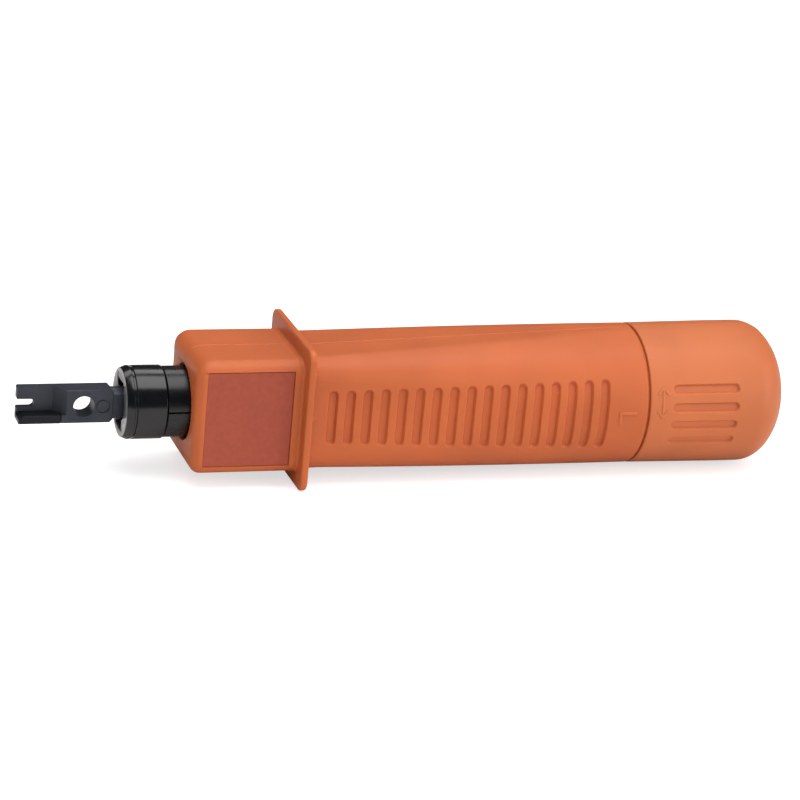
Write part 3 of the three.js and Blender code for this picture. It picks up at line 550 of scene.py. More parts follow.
def bumped(nodes, links, shader, heights):
    """Stacks bumps of (height, strength, distance in millimetres) on the shader."""
    normal = None
    for height, strength, distance in heights:
        bump = add_node(nodes, "Bump", Strength=strength, Distance=distance * MM)
        links.new(height, bump.inputs["Height"])
        if normal is not None:
            links.new(normal, bump.inputs["Normal"])
        normal = bump.outputs["Normal"]
    links.new(normal, shader.inputs["Normal"])


def edge_mask_for_wear_and_painted_light(nodes, links, low=0.46, high=0.56):
    """1 on outer edges and 0 in hollows, from the mesh's own curvature: worn edges on metal, and
    on plastic a painted edge highlight and painted shade in hollows.
    """
    shape = add_node(nodes, "NewGeometry")
    return remap(nodes, links, shape.outputs["Pointiness"], From_Min=low, From_Max=high)


def moulded_plastic(name, colour, hollow_shade, raised):
    """Satin moulding: faint flow clouds, a fine spark-eroded grain, a painted highlight on outer
    edges and painted shade in hollows.
    """
    material, nodes, links, shader = new_material(name)
    clouds = mottle(nodes, links, 45, detail=2)
    dark = tuple(channel * 0.93 for channel in colour)
    light = tuple(min(channel * 1.06, 1) for channel in colour)
    body = ramp(nodes, links, clouds, [(0.35, dark), (0.65, light)])
    # Painted light: the hollow colour paints shade into hollows, and the raised colour paints a
    # highlight on outer edges.
    edges = edge_mask_for_wear_and_painted_light(nodes, links)
    painted_shade_and_highlight = ramp(nodes, links, edges, [
        (0.1, hollow_shade), (0.4, (1, 1, 1)), (0.6, (1, 1, 1)), (0.9, raised)])
    final = tinted(nodes, links, "MULTIPLY", 1.0, body, painted_shade_and_highlight)
    links.new(final, shader.inputs["Base Color"])
    handled = mottle(nodes, links, 160, detail=4)
    links.new(remap(nodes, links, handled, To_Min=0.4, To_Max=0.54), shader.inputs["Roughness"])
    grain = mottle(nodes, links, 2600, detail=2)
    ripple = mottle(nodes, links, 180, detail=1)
    bumped(nodes, links, shader, [(ripple, 0.12, 0.05), (grain, 0.16, 0.02)])
    set_inputs(shader, Subsurface_Weight=0.12, Subsurface_Radius=(1.0, 0.35, 0.12),
               Subsurface_Scale=1.2 * MM, Specular_IOR_Level=0.32)
    return material


# Its last two colours are painted shade for the hollows and a painted highlight for the edges.
grip_orange = moulded_plastic(
    "grip_orange_moulding", (0.47, 0.104, 0.027), (1.0, 0.86, 0.9), (1.1, 1.16, 1.16))
near_grip = shell("near_grip_shell", -1)
far_grip = shell("far_grip_shell", 1)


def block(x0, x1, y0, y1, z0, z1):
    """A closed cutter, in millimetres."""
    points = [(x, y, z) for x in (x0, x1) for y in (y0, y1) for z in (z0, z1)]
    faces = [(0, 1, 3, 2), (4, 6, 7, 5), (0, 4, 5, 1), (2, 3, 7, 6), (0, 2, 6, 4), (1, 5, 7, 3)]
    return add_piece("cutter", points, faces)


def filleted(corners):
    """Corners of (x, radius, rounding) as an outline with its corners rounded."""
    steps = 4
    outline = []
    for index, (x, radius, rounding) in enumerate(corners):
        here = Vector((x, radius))
        if not rounding:
            outline.append((x, radius))
            continue
        before = (Vector(corners[index - 1][:2]) - here).normalized()
        after = (Vector(corners[(index + 1) % len(corners)][:2]) - here).normalized()
        half_angle = before.angle(after) / 2
        centre = here + (before + after).normalized() * rounding / math.sin(half_angle)
        reach = rounding / math.tan(half_angle)
        first = here + before * reach - centre
        sweep = first.angle_signed(here + after * reach - centre)
        for step in range(steps + 1):
            turned_by = -sweep * step / steps
            spoke = Matrix.Rotation(turned_by, 2) @ first
            outline.append(tuple(centre + spoke))
    return outline


def turned(name, corners, sides, ring=False):
    """A lathe-turned piece on the tool's axis. The corners are those of its profile, which
    is closed with flat ends to the axis, or those all the way round a ring's section."""
    if not ring and corners[0][1]:
        corners = [(corners[0][0], 0, 0), *corners, (corners[-1][0], 0, 0)]
    outline = filleted(corners)
    angles = np.linspace(0, 2 * math.pi, sides, endpoint=False)
    points, starts, faces = [], [], []
    for x, radius in outline:
        starts.append(len(points))
        if radius < 1e-6:
            points.append((x, 0, 0))
        else:
            points += [(x, -radius * math.cos(a), radius * math.sin(a)) for a in angles]
    count = len(outline)
    for index in range(count if ring else count - 1):
        a, b = starts[index], starts[(index + 1) % count]
        a_ring, b_ring = outline[index][1] > 1e-6, outline[(index + 1) % count][1] > 1e-6
        for side in range(sides):
            nearby = (side + 1) % sides
            if a_ring and b_ring:
                faces.append((a + side, a + nearby, b + nearby, b + side))
            elif a_ring:
                faces.append((a + side, a + nearby, b))
            elif b_ring:
                faces.append((a, b + nearby, b + side))
    return add_piece(name, points, faces)


def stand(piece, x, y, z, axis):
    """Turns a piece made along X round to stand along Y or Z, and moves it to its place."""
    if axis == "Y":
        piece.data.transform(Matrix.Rotation(math.pi / 2, 4, "Z"))
    elif axis == "Z":
        piece.data.transform(Matrix.Rotation(-math.pi / 2, 4, "Y"))
    piece.data.transform(Matrix.Translation(Vector((x, y, z)) * MM))
    return piece


def rod(x0, x1, radius, sides=48):
    return turned("cutter", [(x0, radius, 0), (x1, radius, 0)], sides)


def dress(piece, finish, body, slot, *nodes):
    """Gives a piece its finish and its body, and hides the CAD nodes that it stands for."""
    piece.data.materials.clear()
    piece.data.materials.append(finish)
    for polygon in piece.data.polygons:
        polygon.material_index = 0
    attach(piece, body)
    if nodes:
        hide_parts(*nodes)


def screw_places():
    for number in range(1, 5):
        low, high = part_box(f"shell_screw_{number}")
        yield (low.x + high.x) / 2 / MM, (low.z + high.z) / 2 / MM


def add_screw_posts(piece, side):
    """A post for each screw, with a pilot hole, and a counterbore in the far half."""
    for x, z in screw_places():
        ends = sorted((side * 0.02, side * POST_REACH))
        join(piece, stand(rod(*ends, POST_RADIUS, 40), x, 0, z, "Y"))
    for x, z in screw_places():
        cut(piece, stand(rod(-PILOT[0], PILOT[0], PILOT[1], 32), x, 0, z, "Y"))
        if side > 0:
            cut(piece, stand(rod(0, *COUNTERBORE), x, SCREW_SEAT, z, "Y"))


cut(far_grip, block(front_x - 1, front_x + FACE_STEP, 0, 30, -30, FACE_STEP_HEIGHT))
for grip, side, node in ((near_grip, -1, "near_shell"), (far_grip, 1, "far_shell")):
    add_screw_posts(grip, side)
    dress(grip, grip_orange, "housing", "grip_plastic", node)

# ---- Label films ----------------------------------------------------------------------
# A plain red-brown vinyl film on each side of the square front, die-cut with slightly
# rounded corners and pressed into the moulded recess.
FILM_CORNER = 0.5
FILM_EDGE = 0.07


def film_outline(low, high, inset):
    points = []
    corner = FILM_CORNER - inset
    for quadrant, (x, z) in enumerate(((high.x, high.z), (low.x, high.z),
                                       (low.x, low.z), (high.x, low.z))):
        across = 1 if quadrant in (0, 3) else -1
        upward = 1 if quadrant in (0, 1) else -1
        for step in range(6):
            turn = quadrant * math.pi / 2 + step / 5 * math.pi / 2
            points.append((x / MM - across * FILM_CORNER + corner * math.cos(turn),
                           z / MM - upward * FILM_CORNER + corner * math.sin(turn)))
    return points


def label_film(name, node):
    low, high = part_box(node)
    side = 1 if low.y > 0 else -1
    inner, outer = sorted((abs(low.y) / MM, abs(high.y) / MM))
    rings = [(inner, 0), (outer - FILM_EDGE, 0), (outer, FILM_EDGE), (outer, 0.4)]
    points = [(x, side * y, z) for y, inset in rings for x, z in film_outline(low, high, inset)]
    count = len(points) // len(rings)
    faces = grid_faces(len(rings), count, close_columns=True)
    faces += [list(range(count)), list(range(3 * count, 4 * count))]
    dress(add_piece(name, points, faces), vinyl, "housing", "label_film", node)


def vinyl_film(name):
    """Matt vinyl with a fine paper tooth and faint handling marks."""
    material, nodes, links, shader = new_material(name)
    clouds = mottle(nodes, links, 70, detail=5)
    body = ramp(nodes, links, clouds, [(0.3, (0.3, 0.06, 0.034)), (0.7, (0.335, 0.067, 0.039))])
    fleck = mottle(nodes, links, 900, detail=3)
    worn = ramp(nodes, links, fleck, [(0.3, (0.93, 0.93, 0.93)), (0.7, (1.05, 1.05, 1.05))])
    final = tinted(nodes, links, "MULTIPLY", 1.0, body, worn)
    links.new(final, shader.inputs["Base Color"])
    links.new(remap(nodes, links, clouds, To_Min=0.62, To_Max=0.8), shader.inputs["Roughness"])
    tooth = mottle(nodes, links, 3500, detail=2)
    bumped(nodes, links, shader, [(fleck, 0.1, 0.02), (tooth, 0.2, 0.015)])
    set_inputs(shader, Specular_IOR_Level=0.25)
    return material


vinyl = vinyl_film("red_brown_vinyl")
for film in ("near_label", "far_label"):
    label_film(film + "_film", film)

# ---- Raised marks ---------------------------------------------------------------------
# Fine raised strokes moulded with the grip and the cap: L for the low blow on one side, H
# for the high blow on the other, and a turning arrow with open heads at both ends.
MARK_LIFT = 0.22
MARK_ROOT = 0.35
MARK_WIDTH = 0.75
MARK_SMOOTH_ANGLE = 40
LETTER_LENGTH = 4.2
LETTER_MARGIN = 2.7  # letter to the cap joint
LETTER_HALF = 1.5
LETTER_DROP = 0.5  # the near letter sits this much below the axis


def stroke(start, end, width, radius_at, side):
    """One raised stroke between two (x, arc) places on a round surface."""
    steps = 14
    start, end = Vector(start), Vector(end)
    ahead = (end - start).normalized()
    across = Vector((-ahead.y, ahead.x))
    half, edge = width / 2, 0.12
    section = [(-half - edge, -MARK_ROOT), (-half, MARK_LIFT - edge), (edge - half, MARK_LIFT),
               (half - edge, MARK_LIFT), (half, MARK_LIFT - edge), (half + edge, -MARK_ROOT)]
    points = []
    for step in range(steps + 1):
        middle = start.lerp(end, step / steps)
        for offset, lift in section:
            place = middle + across * offset
            radius = radius_at(place.x) + lift
            turn = place.y / radius_at(place.x)
            points.append((place.x, side * radius * math.cos(turn), radius * math.sin(turn)))
    count = len(section)
    faces = grid_faces(steps + 1, count, close_columns=True)
    faces += [list(range(count)), list(range(steps * count, (steps + 1) * count))]
    return add_piece("stroke", points, faces)


def mark(name, strokes, width, radius_at, side, body, slot, finish):
    pieces = [stroke(a, b, width, radius_at, side) for a, b in strokes]
    whole = pieces[0]
    for other in pieces[1:]:
        join(whole, other)
    whole.name = whole.data.name = name
    shade(whole.data, MARK_SMOOTH_ANGLE)
    dress(whole, finish, body, slot)


def grip_radius(x):
    return float(grip_section(x)[0])


x1 = joint_x - LETTER_MARGIN
x0 = x1 - LETTER_LENGTH
inset = MARK_WIDTH / 2
top, bottom = LETTER_HALF - inset, inset - LETTER_HALF
low_top = top - LETTER_DROP
low_letter = [((x0, low_top), (x1, low_top)),
              ((x0 + inset, low_top + inset), (x0 + inset, bottom - inset - LETTER_DROP))]
mark("low_letter", low_letter, MARK_WIDTH, grip_radius, -1, "housing", "grip_plastic",
     grip_orange)
middle = (x0 + x1) / 2
mark("high_letter", [((x0, top), (x1, top)), ((x0, bottom), (x1, bottom)),
                     ((middle, top), (middle, bottom))],
     MARK_WIDTH, grip_radius, 1, "housing", "grip_plastic", grip_orange)

# ---- End cap --------------------------------------------------------------------------
# A domed cup in a paler orange plastic that turns on the grip's end to set the blow. Four
# finger slots on each side are moulded in, and a parting line runs over the top.
cap_low, cap_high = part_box("end_cap")
CAP_FLARE = 0.4
DOME_LENGTH = 10.0
DOME_FULLNESS = 2.06  # 2 is an ellipse; more is squarer
CAP_WALL = 2.85
CAP_SLOTS = (-23.8, -8.9, 6.1, 21.3)  # degrees from the side's middle
CAP_SLOT_ENDS = (6.2, 5.4)  # from the cap joint, and from the dome's root
CAP_SLOT_WIDTH = 2.3
CAP_SLOT_DEPTH = 0.65
ARROW_MIDDLE = 10.6  # degrees above the side's middle
ARROW_SETBACK = 3.7  # from the cap joint
ARROW_REACH = 3.5  # middle to each point
ARROW_HEAD = (1.25, 1.6)  # half width and length of a head
ARROW_WIDTH = 0.5
ARC_RADIUS = 16.6  # turns widths on the cap into angles

cap_x = cap_low.x / MM
end_x = cap_high.x / MM
cap_radius = rear_radius + CAP_FLARE - SEAM_BEAD
dome_x = end_x - DOME_LENGTH
slot_x = (joint_x + CAP_SLOT_ENDS[0], dome_x - CAP_SLOT_ENDS[1])
screw_seat_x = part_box("adjuster_screw")[1].x / MM - 7.0


def cap_radius_at(x):
    share = min(max((x - cap_x - 0.3) / (dome_x - 6 - cap_x - 0.3), 0), 1)
    return rear_radius + 0.05 + (cap_radius - rear_radius - 0.05) * share


def cap_outline():
    """Stations and radii from the blind bore on the axis, out over the rim, to the dome."""
    bore, boss, inner = 3.05, 5.9, cap_radius - CAP_WALL
    inside = [(screw_seat_x + 7.2, 0, 0), (screw_seat_x + 7.2, bore, 0),
              (screw_seat_x, bore, 0.2),
              (screw_seat_x, boss, 0.3), (end_x - 4, boss, 0), (dome_x + 5.8, inner - 3.5, 2),
              (dome_x + 2.5, inner - 1, 2), (dome_x - 2, inner, 2), (cap_x, inner, 0.3),
              (cap_x, rear_radius + 0.05, 0.35), (cap_x + 1, cap_radius_at(cap_x + 1), 0)]
    outline = filleted(inside)
    wall = np.array([-0.2, -0.08, 0, 0.08, 0.16, 0.24, 0.32, 0.42, 0.55, 0.7, 0.85, 1.0, 1.2])
    stations = merged(np.arange(cap_x + 1.6, dome_x - 0.3, 0.7),
                      slot_x[0] + wall, slot_x[1] - wall)
    outline += [(x, cap_radius_at(x)) for x in stations]
    for turn in np.linspace(0, math.pi / 2, 30)[:-1]:
        share = 2 / DOME_FULLNESS
        outline.append((dome_x + DOME_LENGTH * math.sin(turn) ** share,
                        cap_radius * math.cos(turn) ** share))
    return np.array(outline + [(end_x, 0)])


def cap_angles():
    wall = np.array([0, 0.45, 0.7, 0.8, 0.88, 0.96, 1.04, 1.12, 1.2, 1.32]) / ARC_RADIUS
    slots = [math.radians(angle) + flip + side * wall
             for angle in CAP_SLOTS for flip in (0, math.pi) for side in (-1, 1)]
    line = np.array([-0.3, -0.2, -0.1, 0, 0.1, 0.2, 0.3]) / ARC_RADIUS
    lines = [math.pi / 2 + line, 3 * math.pi / 2 + line]
    angles = np.concatenate([*slots, *lines, np.arange(0, 2 * math.pi, math.radians(2.5))])
    return merged(np.mod(angles, 2 * math.pi))


def end_cap():
    outline, angles = cap_outline(), cap_angles()
    x, turn = outline[:, 0][:, None], angles[None, :]
    radius = np.repeat(outline[:, 1][:, None], len(angles), axis=1)
    outside = (np.arange(len(outline)) > outline[:, 0].argmin() + 3)[:, None]
    length = slot_x[1] - slot_x[0] - CAP_SLOT_WIDTH
    beyond = np.clip(np.abs(x - sum(slot_x) / 2) - length / 2, 0, None)
    for angle in CAP_SLOTS:
        for flip in (0, math.pi):
            arc = (turn - math.radians(angle) - flip + math.pi) % (2 * math.pi) - math.pi
            edge = np.hypot(beyond, arc * cap_radius) - CAP_SLOT_WIDTH / 2
            radius -= outside * CAP_SLOT_DEPTH * (1 - ease(-0.38, 0.08, edge))
    line = np.abs(np.cos(turn)) * radius
    radius += outside * SEAM_BEAD * (1 - ease(0.08, 0.26, line)) * (x < dome_x + 6)
    points = np.stack([np.broadcast_to(x, radius.shape), -radius * np.cos(turn),
                       radius * np.sin(turn)], axis=-1)[1:-1]
    rows, columns = points.shape[:2]
    faces = grid_faces(rows, columns, close_columns=True)
    points = points.reshape(-1, 3).tolist() + [(outline[0][0], 0, 0), (end_x, 0, 0)]
    first, last = rows * columns, rows * columns + 1
    tail = (rows - 1) * columns
    faces += [(first, (c + 1) % columns, c) for c in range(columns)]
    faces += [(last, tail + c, tail + (c + 1) % columns) for c in range(columns)]
    return add_piece("end_cap_cup", points, faces)


# Its last two colours are painted shade for the hollows and a painted highlight for the edges.
cap_orange = moulded_plastic(
    "cap_orange_moulding", (0.49, 0.13, 0.042), (1.0, 0.86, 0.92), (1.08, 1.14, 1.14))
dress(end_cap(), cap_orange, "cap", "cap_plastic", "end_cap")

arrow_x = joint_x + ARROW_SETBACK
arrow_arc = math.radians(ARROW_MIDDLE) * cap_radius
arrow = [((arrow_x, arrow_arc - ARROW_REACH + 0.3), (arrow_x, arrow_arc + ARROW_REACH - 0.3))]
for way in (-1, 1):
    for side in (-1, 1):
        arrow.append(((arrow_x, arrow_arc + way * ARROW_REACH),
                      (arrow_x + side * ARROW_HEAD[0],
                       arrow_arc + way * (ARROW_REACH - ARROW_HEAD[1]))))
mark("turning_arrow", arrow, ARROW_WIDTH, cap_radius_at, -1, "cap", "cap_plastic", cap_orange)

# ---- Chuck ----------------------------------------------------------------------------
# The sliding front collar: turned steel, blacked and oiled, with a key slot for quarter-turn
# blades and a stepped bore behind it for the blade's tail, the catch ball and the rod.
CHUCK_RIM = 0.55
CHUCK_GROOVE = (1.7, 2.4)  # from the chuck's face
CHUCK_GROOVE_DEPTH = 0.4
SLEEVE_GAP = 0.2  # collar to sleeve
SLEEVE_WALL = 1.25
KEY_HALF = 2.6
KEY_REACH = 5.2
SOCKET_RADIUS = 4.0
CAVITY = (3.0, 6.4, 5.1)  # start, end and radius of the lug cavity
TAIL_ROOM = 12.0  # chuck face to the blade's tail
ROD_SEAT = 19.3
CATCH_BORE = 2.4  # radius of the bore for the catch ball and its spring
ROD_SOCKET = 4.65  # radius of the bore that holds the rod
PIN_BEHIND_SEAT = 6.0
PIN_HOLE = (9, 1.4)  # half length and radius

face_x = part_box("chuck")[0].x / MM
shank_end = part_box("chuck")[1].x / MM
chuck_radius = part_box("chuck")[1].z / MM
sleeve_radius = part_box("chuck_sleeve")[1].z / MM
collar_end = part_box("chuck_sleeve")[0].x / MM - SLEEVE_GAP
shank_radius = sleeve_radius - SLEEVE_WALL - 0.15
pin_x = face_x + ROD_SEAT + PIN_BEHIND_SEAT


def ring_lines(nodes, links, scale):
    """Noise along the axis only: the marks of a lathe tool."""
    split = add_node(nodes, "SeparateXYZ")
    links.new(object_place(nodes).outputs["Object"], split.inputs["Vector"])
    noise = add_node(nodes, "TexNoise", Scale=scale, Detail=3)
    noise.noise_dimensions = "1D"
    links.new(split.outputs["X"], noise.inputs["W"])
    return noise.outputs["Fac"]


def metal(name, colour, roughness, metallic, wear=None, lathe=0.0, specular=0.5, front=None):
    """Metal with cloudy tarnish and fine scratches, and often worn edges and lathe marks.
    A front colour paints a highlight on the faces that look forward along the axis."""
    material, nodes, links, shader = new_material(name)
    clouds = mottle(nodes, links, 130, detail=6)
    dark = tuple(channel * 0.8 for channel in colour)
    light = tuple(channel * 1.15 for channel in colour)
    body = ramp(nodes, links, clouds, [(0.35, dark), (0.65, light)])
    if wear:
        body = tinted(nodes, links, "MIX", edge_mask_for_wear_and_painted_light(nodes, links, 0.53, 0.62), body, wear)
    # The front colour is a painted highlight on faces that look forward.
    if front:
        split = add_node(nodes, "SeparateXYZ")
        links.new(object_place(nodes).outputs["Normal"], split.inputs["Vector"])
        facing = remap(nodes, links, split.outputs["X"], From_Min=-0.9, From_Max=-0.99)
        body = tinted(nodes, links, "MIX", facing, body, front)
    links.new(body, shader.inputs["Base Color"])
    set_inputs(shader, Metallic=metallic, Specular_IOR_Level=specular)
    handled = mottle(nodes, links, 420, detail=5)
    uneven = remap(nodes, links, handled, To_Min=roughness * 0.75, To_Max=roughness * 1.25)
    links.new(uneven, shader.inputs["Roughness"])
    scratches = mottle(nodes, links, 2400, detail=3)
    heights = [(scratches, 0.1, 0.008)]
    if lathe:
        heights.append((ring_lines(nodes, links, 5200), lathe, 0.012))
    bumped(nodes, links, shader, heights)
    return material


# The chuck's flat front face gets a light grey painted highlight.
black_oxide = metal("oiled_black_oxide", (0.0022, 0.0025, 0.0035), 0.2, 0.0,
                    (0.012, 0.012, 0.014), lathe=0.1, specular=0.6,
                    front=(0.2, 0.2, 0.21))
groove_start, groove_end = face_x + CHUCK_GROOVE[0], face_x + CHUCK_GROOVE[1]
groove_floor = chuck_radius - CHUCK_GROOVE_DEPTH
collar = turned("chuck_collar", [
    (face_x, chuck_radius - CHUCK_RIM, 0.2), (face_x + 1.3, chuck_radius, 0.5),
    (groove_start, chuck_radius, 0.06), (groove_start + 0.15, groove_floor, 0.06),
    (groove_end - 0.15, groove_floor, 0.06), (groove_end, chuck_radius, 0.06),
    (collar_end, chuck_radius, 0.28), (collar_end, shank_radius, 0.1),
    (shank_end, shank_radius, 0.25)], 128)
cut(collar, block(face_x - 1, face_x + 3.5, -KEY_HALF, KEY_HALF, -KEY_REACH, KEY_REACH))
for start, end, radius in (
        (-1, TAIL_ROOM + 1, SOCKET_RADIUS), CAVITY, (TAIL_ROOM, ROD_SEAT + 1, CATCH_BORE),
        (ROD_SEAT - 0.3, shank_end - face_x + 1, ROD_SOCKET)):
    cut(collar, rod(face_x + start, face_x + end, radius, 64))
cut(collar, turned("cutter", [
    (face_x - 0.2, SOCKET_RADIUS + 0.5, 0), (face_x + 0.3, SOCKET_RADIUS, 0)], 64))


def drill_for_pin(piece):
    """The cross pin's hole, straight down through the piece."""
    length, radius = PIN_HOLE
    cut(piece, stand(rod(-length, length, radius, 32), pin_x, 0, 0, "Z"))


drill_for_pin(collar)
dress(collar, black_oxide, "plunger", "black_chuck", "chuck")

# ---- Chuck sleeve ---------------------------------------------------------------------
# A split sleeve of rolled black steel, pressed over the chuck's shank, that slides through
# the white bushing. Its slit faces the labelled side and the cross pin runs through it.
SLIT_HALF = 0.25

black_sleeve = metal("satin_black_sleeve", (0.0018, 0.002, 0.003), 0.28, 0.0,
                     (0.012, 0.012, 0.015), lathe=0.2)
inner = sleeve_radius - SLEEVE_WALL
sleeve = turned("split_sleeve", [
    (collar_end + SLEEVE_GAP, inner, 0.12), (collar_end + SLEEVE_GAP, sleeve_radius, 0.2),
    (shank_end, sleeve_radius, 0.2), (shank_end, inner, 0.12)], 128, ring=True)
cut(sleeve, block(collar_end - 1, shank_end + 1, -20, 0, -SLIT_HALF, SLIT_HALF))
drill_for_pin(sleeve)
dress(sleeve, black_sleeve, "plunger", "black_chuck", "chuck_sleeve")

# ---- Blade bar ------------------------------------------------------------------------
# A hardened, blacked steel bar with ground flats: a U notch and a milled pocket at the tip,
# a round hole, and behind it the neck, two lugs and the tail that lock in the chuck.
bar_low, bar_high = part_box("blade_bar")
cut_low, cut_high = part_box("cutter_blade")

BAR_LENGTH = 21.1
BAR_THICKNESS = 5.0
BAR_EDGE = 0.16
NOTCH_HALF = 0.95
NOTCH_DEPTH = 3.9
TIP_THICKNESS = 1.9
POCKET = (8.0, 10.6)  # end of the pocket's floor and of its ramp
HOLE_SETBACK = 14.5
HOLE_RADIUS = 2.4
NECK_RADIUS = 3.6
LUG_RADIUS = 4.8
TAIL_RADIUS = 3.7
STAMP_SETBACK = 18.75
STAMP_RING = (1.3, 1.6)

tip_x = bar_low.x / MM
bar_half = bar_high.z / MM
bar_end = tip_x + BAR_LENGTH
near_y, far_y = -BAR_THICKNESS / 2, BAR_THICKNESS / 2
ledge_z = cut_high.z / MM


def plate(name, outline, y0, y1, edge):
    """A flat outline of (x, z), listed with its inside on the left, raised along Y, with
    its edges broken."""
    corners = [Vector(point) for point in outline]
    inward = []
    for index, here in enumerate(corners):
        before = (here - corners[index - 1]).normalized()
        after = (corners[(index + 1) % len(corners)] - here).normalized()
        first, second = Vector((-before.y, before.x)), Vector((-after.y, after.x))
        inward.append((first + second) / (1 + first.dot(second)))
    points = []
    for y, inset in ((y0, edge), (y0 + edge, 0), (y1 - edge, 0), (y1, edge)):
        for here, way in zip(corners, inward):
            moved = here + way * inset
            points.append((moved.x, y, moved.y))
    count = len(corners)
    faces = grid_faces(4, count, close_columns=True)
    faces += [list(range(count)), list(range(3 * count, 4 * count))]
    return add_piece(name, points, faces)


def bar_outline():
    chamfer = 0.7
    root_x = tip_x + NOTCH_DEPTH - NOTCH_HALF
    root = [(root_x + NOTCH_HALF * math.cos(turn), NOTCH_HALF * math.sin(turn))
            for turn in np.radians(np.linspace(90, -90, 16))]
    return [
        (tip_x, -bar_half + 0.12), (tip_x + 0.12, -bar_half), (bar_end - chamfer, -bar_half),
        (bar_end, -bar_half + chamfer), (bar_end, bar_half - chamfer),
        (bar_end - chamfer, bar_half), (tip_x + 0.25, bar_half), (tip_x, bar_half - 0.25),
        (tip_x, NOTCH_HALF + 0.2), (tip_x + 0.2, NOTCH_HALF),
        *root, (tip_x + 0.2, -NOTCH_HALF),
        (tip_x, -NOTCH_HALF - 0.2)]


def flared_hole(radius, half, flare):
    """A cutter for a hole through the bar, with both its edges broken."""
    return turned("cutter", [
        (-half - 0.1, radius + flare + 0.1, 0), (flare - half, radius, 0),
        (half - flare, radius, 0), (half + 0.1, radius + flare + 0.1, 0)], 64)


bar = plate("ground_bar", bar_outline(), near_y, far_y, BAR_EDGE)
pocket_floor = far_y - TIP_THICKNESS
pocket_end = tip_x + POCKET[1] + (POCKET[1] - POCKET[0]) / (pocket_floor - near_y)
pocket = [(x, y, z) for z in (ledge_z, bar_half + 1) for x, y in (
    (tip_x - 1, near_y - 1), (pocket_end, near_y - 1),
    (tip_x + POCKET[0], pocket_floor), (tip_x - 1, pocket_floor))]
cut(bar, add_piece("cutter", pocket, [
    (0, 1, 2, 3), (4, 5, 6, 7), (0, 1, 5, 4), (1, 2, 6, 5), (2, 3, 7, 6), (3, 0, 4, 7)]))
cut(bar, block(tip_x - 1, cut_high.x / MM + 0.1, -20, cut_high.y / MM + 0.1,
               -20, ledge_z + 0.1))
hole = flared_hole(HOLE_RADIUS, far_y, 0.1)
cut(bar, stand(hole, tip_x + HOLE_SETBACK, 0, 0, "Y"))
stamp = turned("cutter", [(x, radius, 0) for x, radius in zip(
    (-0.25, -0.25, 0.25, 0.25), STAMP_RING + STAMP_RING[::-1])], 48, ring=True)
cut(bar, stand(stamp, tip_x + STAMP_SETBACK, near_y, 0, "Y"))
cavity_x = face_x + CAVITY[0]
neck = rod(bar_end - 0.5, cavity_x + 1, NECK_RADIUS, 64)
boolean(neck, block(bar_end - 2, cavity_x + 2, near_y + 0.1, far_y - 0.1, -9, 9), "INTERSECT")
join(bar, neck)
lugs = turned("lugs", [(cavity_x + 0.3, LUG_RADIUS, 0.25),
                       (cavity_x + 2.9, LUG_RADIUS, 0.25)], 64)
boolean(lugs, block(cavity_x, cavity_x + 4, -9, 9, -2.3, 2.3), "INTERSECT")
join(bar, lugs)
join(bar, turned("tail", [(cavity_x + 0.3, TAIL_RADIUS, 0),
                          (bar_high.x / MM, TAIL_RADIUS, 0.6)], 64))
bar.name = bar.data.name = "blade_ground_bar"
shade(bar.data, SMOOTH_ANGLE)
ground_black = metal("ground_blue_black", (0.034, 0.038, 0.05), 0.4, 0.4, specular=0.4)
dress(bar, ground_black, "blade", "black_blade", "blade_bar")

# ---- Cutter ---------------------------------------------------------------------------
# A hard steel strip let into the lower edge of the tip. Its front is ground to the edge
# that trims the wire, and a fine line shows where it meets the bar.
def cutter_outline():
    x0, x1 = x_span("cutter_blade")
    z0, z1 = cut_low.z / MM, cut_high.z / MM
    return [(x0, z0 + 0.1), (x0 + 0.1, z0), (x1 - 0.15, z0), (x1, z0 + 0.15), (x1, z1 - 0.1),
            (x1 - 0.1, z1), (x0 + 1.15, z1), (x0, z1 - 0.92)]


cutter_steel = metal("hard_cutter_steel", (0.008, 0.009, 0.012), 0.36, 0.3, specular=0.3)
cutter = plate("cutter_strip", cutter_outline(), cut_low.y / MM, cut_high.y / MM, 0.08)
dress(cutter, cutter_steel, "blade", "black_blade", "cutter_blade")

# ---- Shell screws ---------------------------------------------------------------------
# Four blacked pan-head screws with a cross recess and a rolled thread. They go in from the
# far side, through its counterbores, and hold the two shells together.
def thread_surface(name, x0, x1, radius, pitch, depth, sides=36):
    """A threaded cylinder along X with flat ends."""
    rows = int(round((x1 - x0) / pitch * 8)) + 1
    xs = np.linspace(x0, x1, rows)[:, None]
    turns = np.linspace(0, 2 * math.pi, sides, endpoint=False)[None, :]
    phase = np.mod((xs - x0) / pitch - turns / (2 * math.pi), 1)
    fade = np.minimum(np.clip((xs - x0) / pitch, 0, 1), np.clip((x1 - xs) / pitch, 0, 1))
    valley = depth * np.clip(1.5 - 3 * np.abs(phase - 0.5), 0, 1)
    reach = radius - valley * fade - depth * (1 - fade)
    points = np.stack([np.broadcast_to(xs, reach.shape), -reach * np.cos(turns),
                       reach * np.sin(turns)], axis=-1).reshape(-1, 3)
    faces = grid_faces(rows, sides, close_columns=True)
    faces += [list(range(sides)), list(range((rows - 1) * sides, rows * sides))]
    return add_piece(name, points, faces, 60)


SCREW_SHANK = (-8.0, 8.3, 1.0)  # start and end from the seam, and radius
SCREW_THREAD = (0.7, 0.14)  # pitch and depth
CROSS_RECESS = (1.2, 0.25)  # half length and half width of each arm

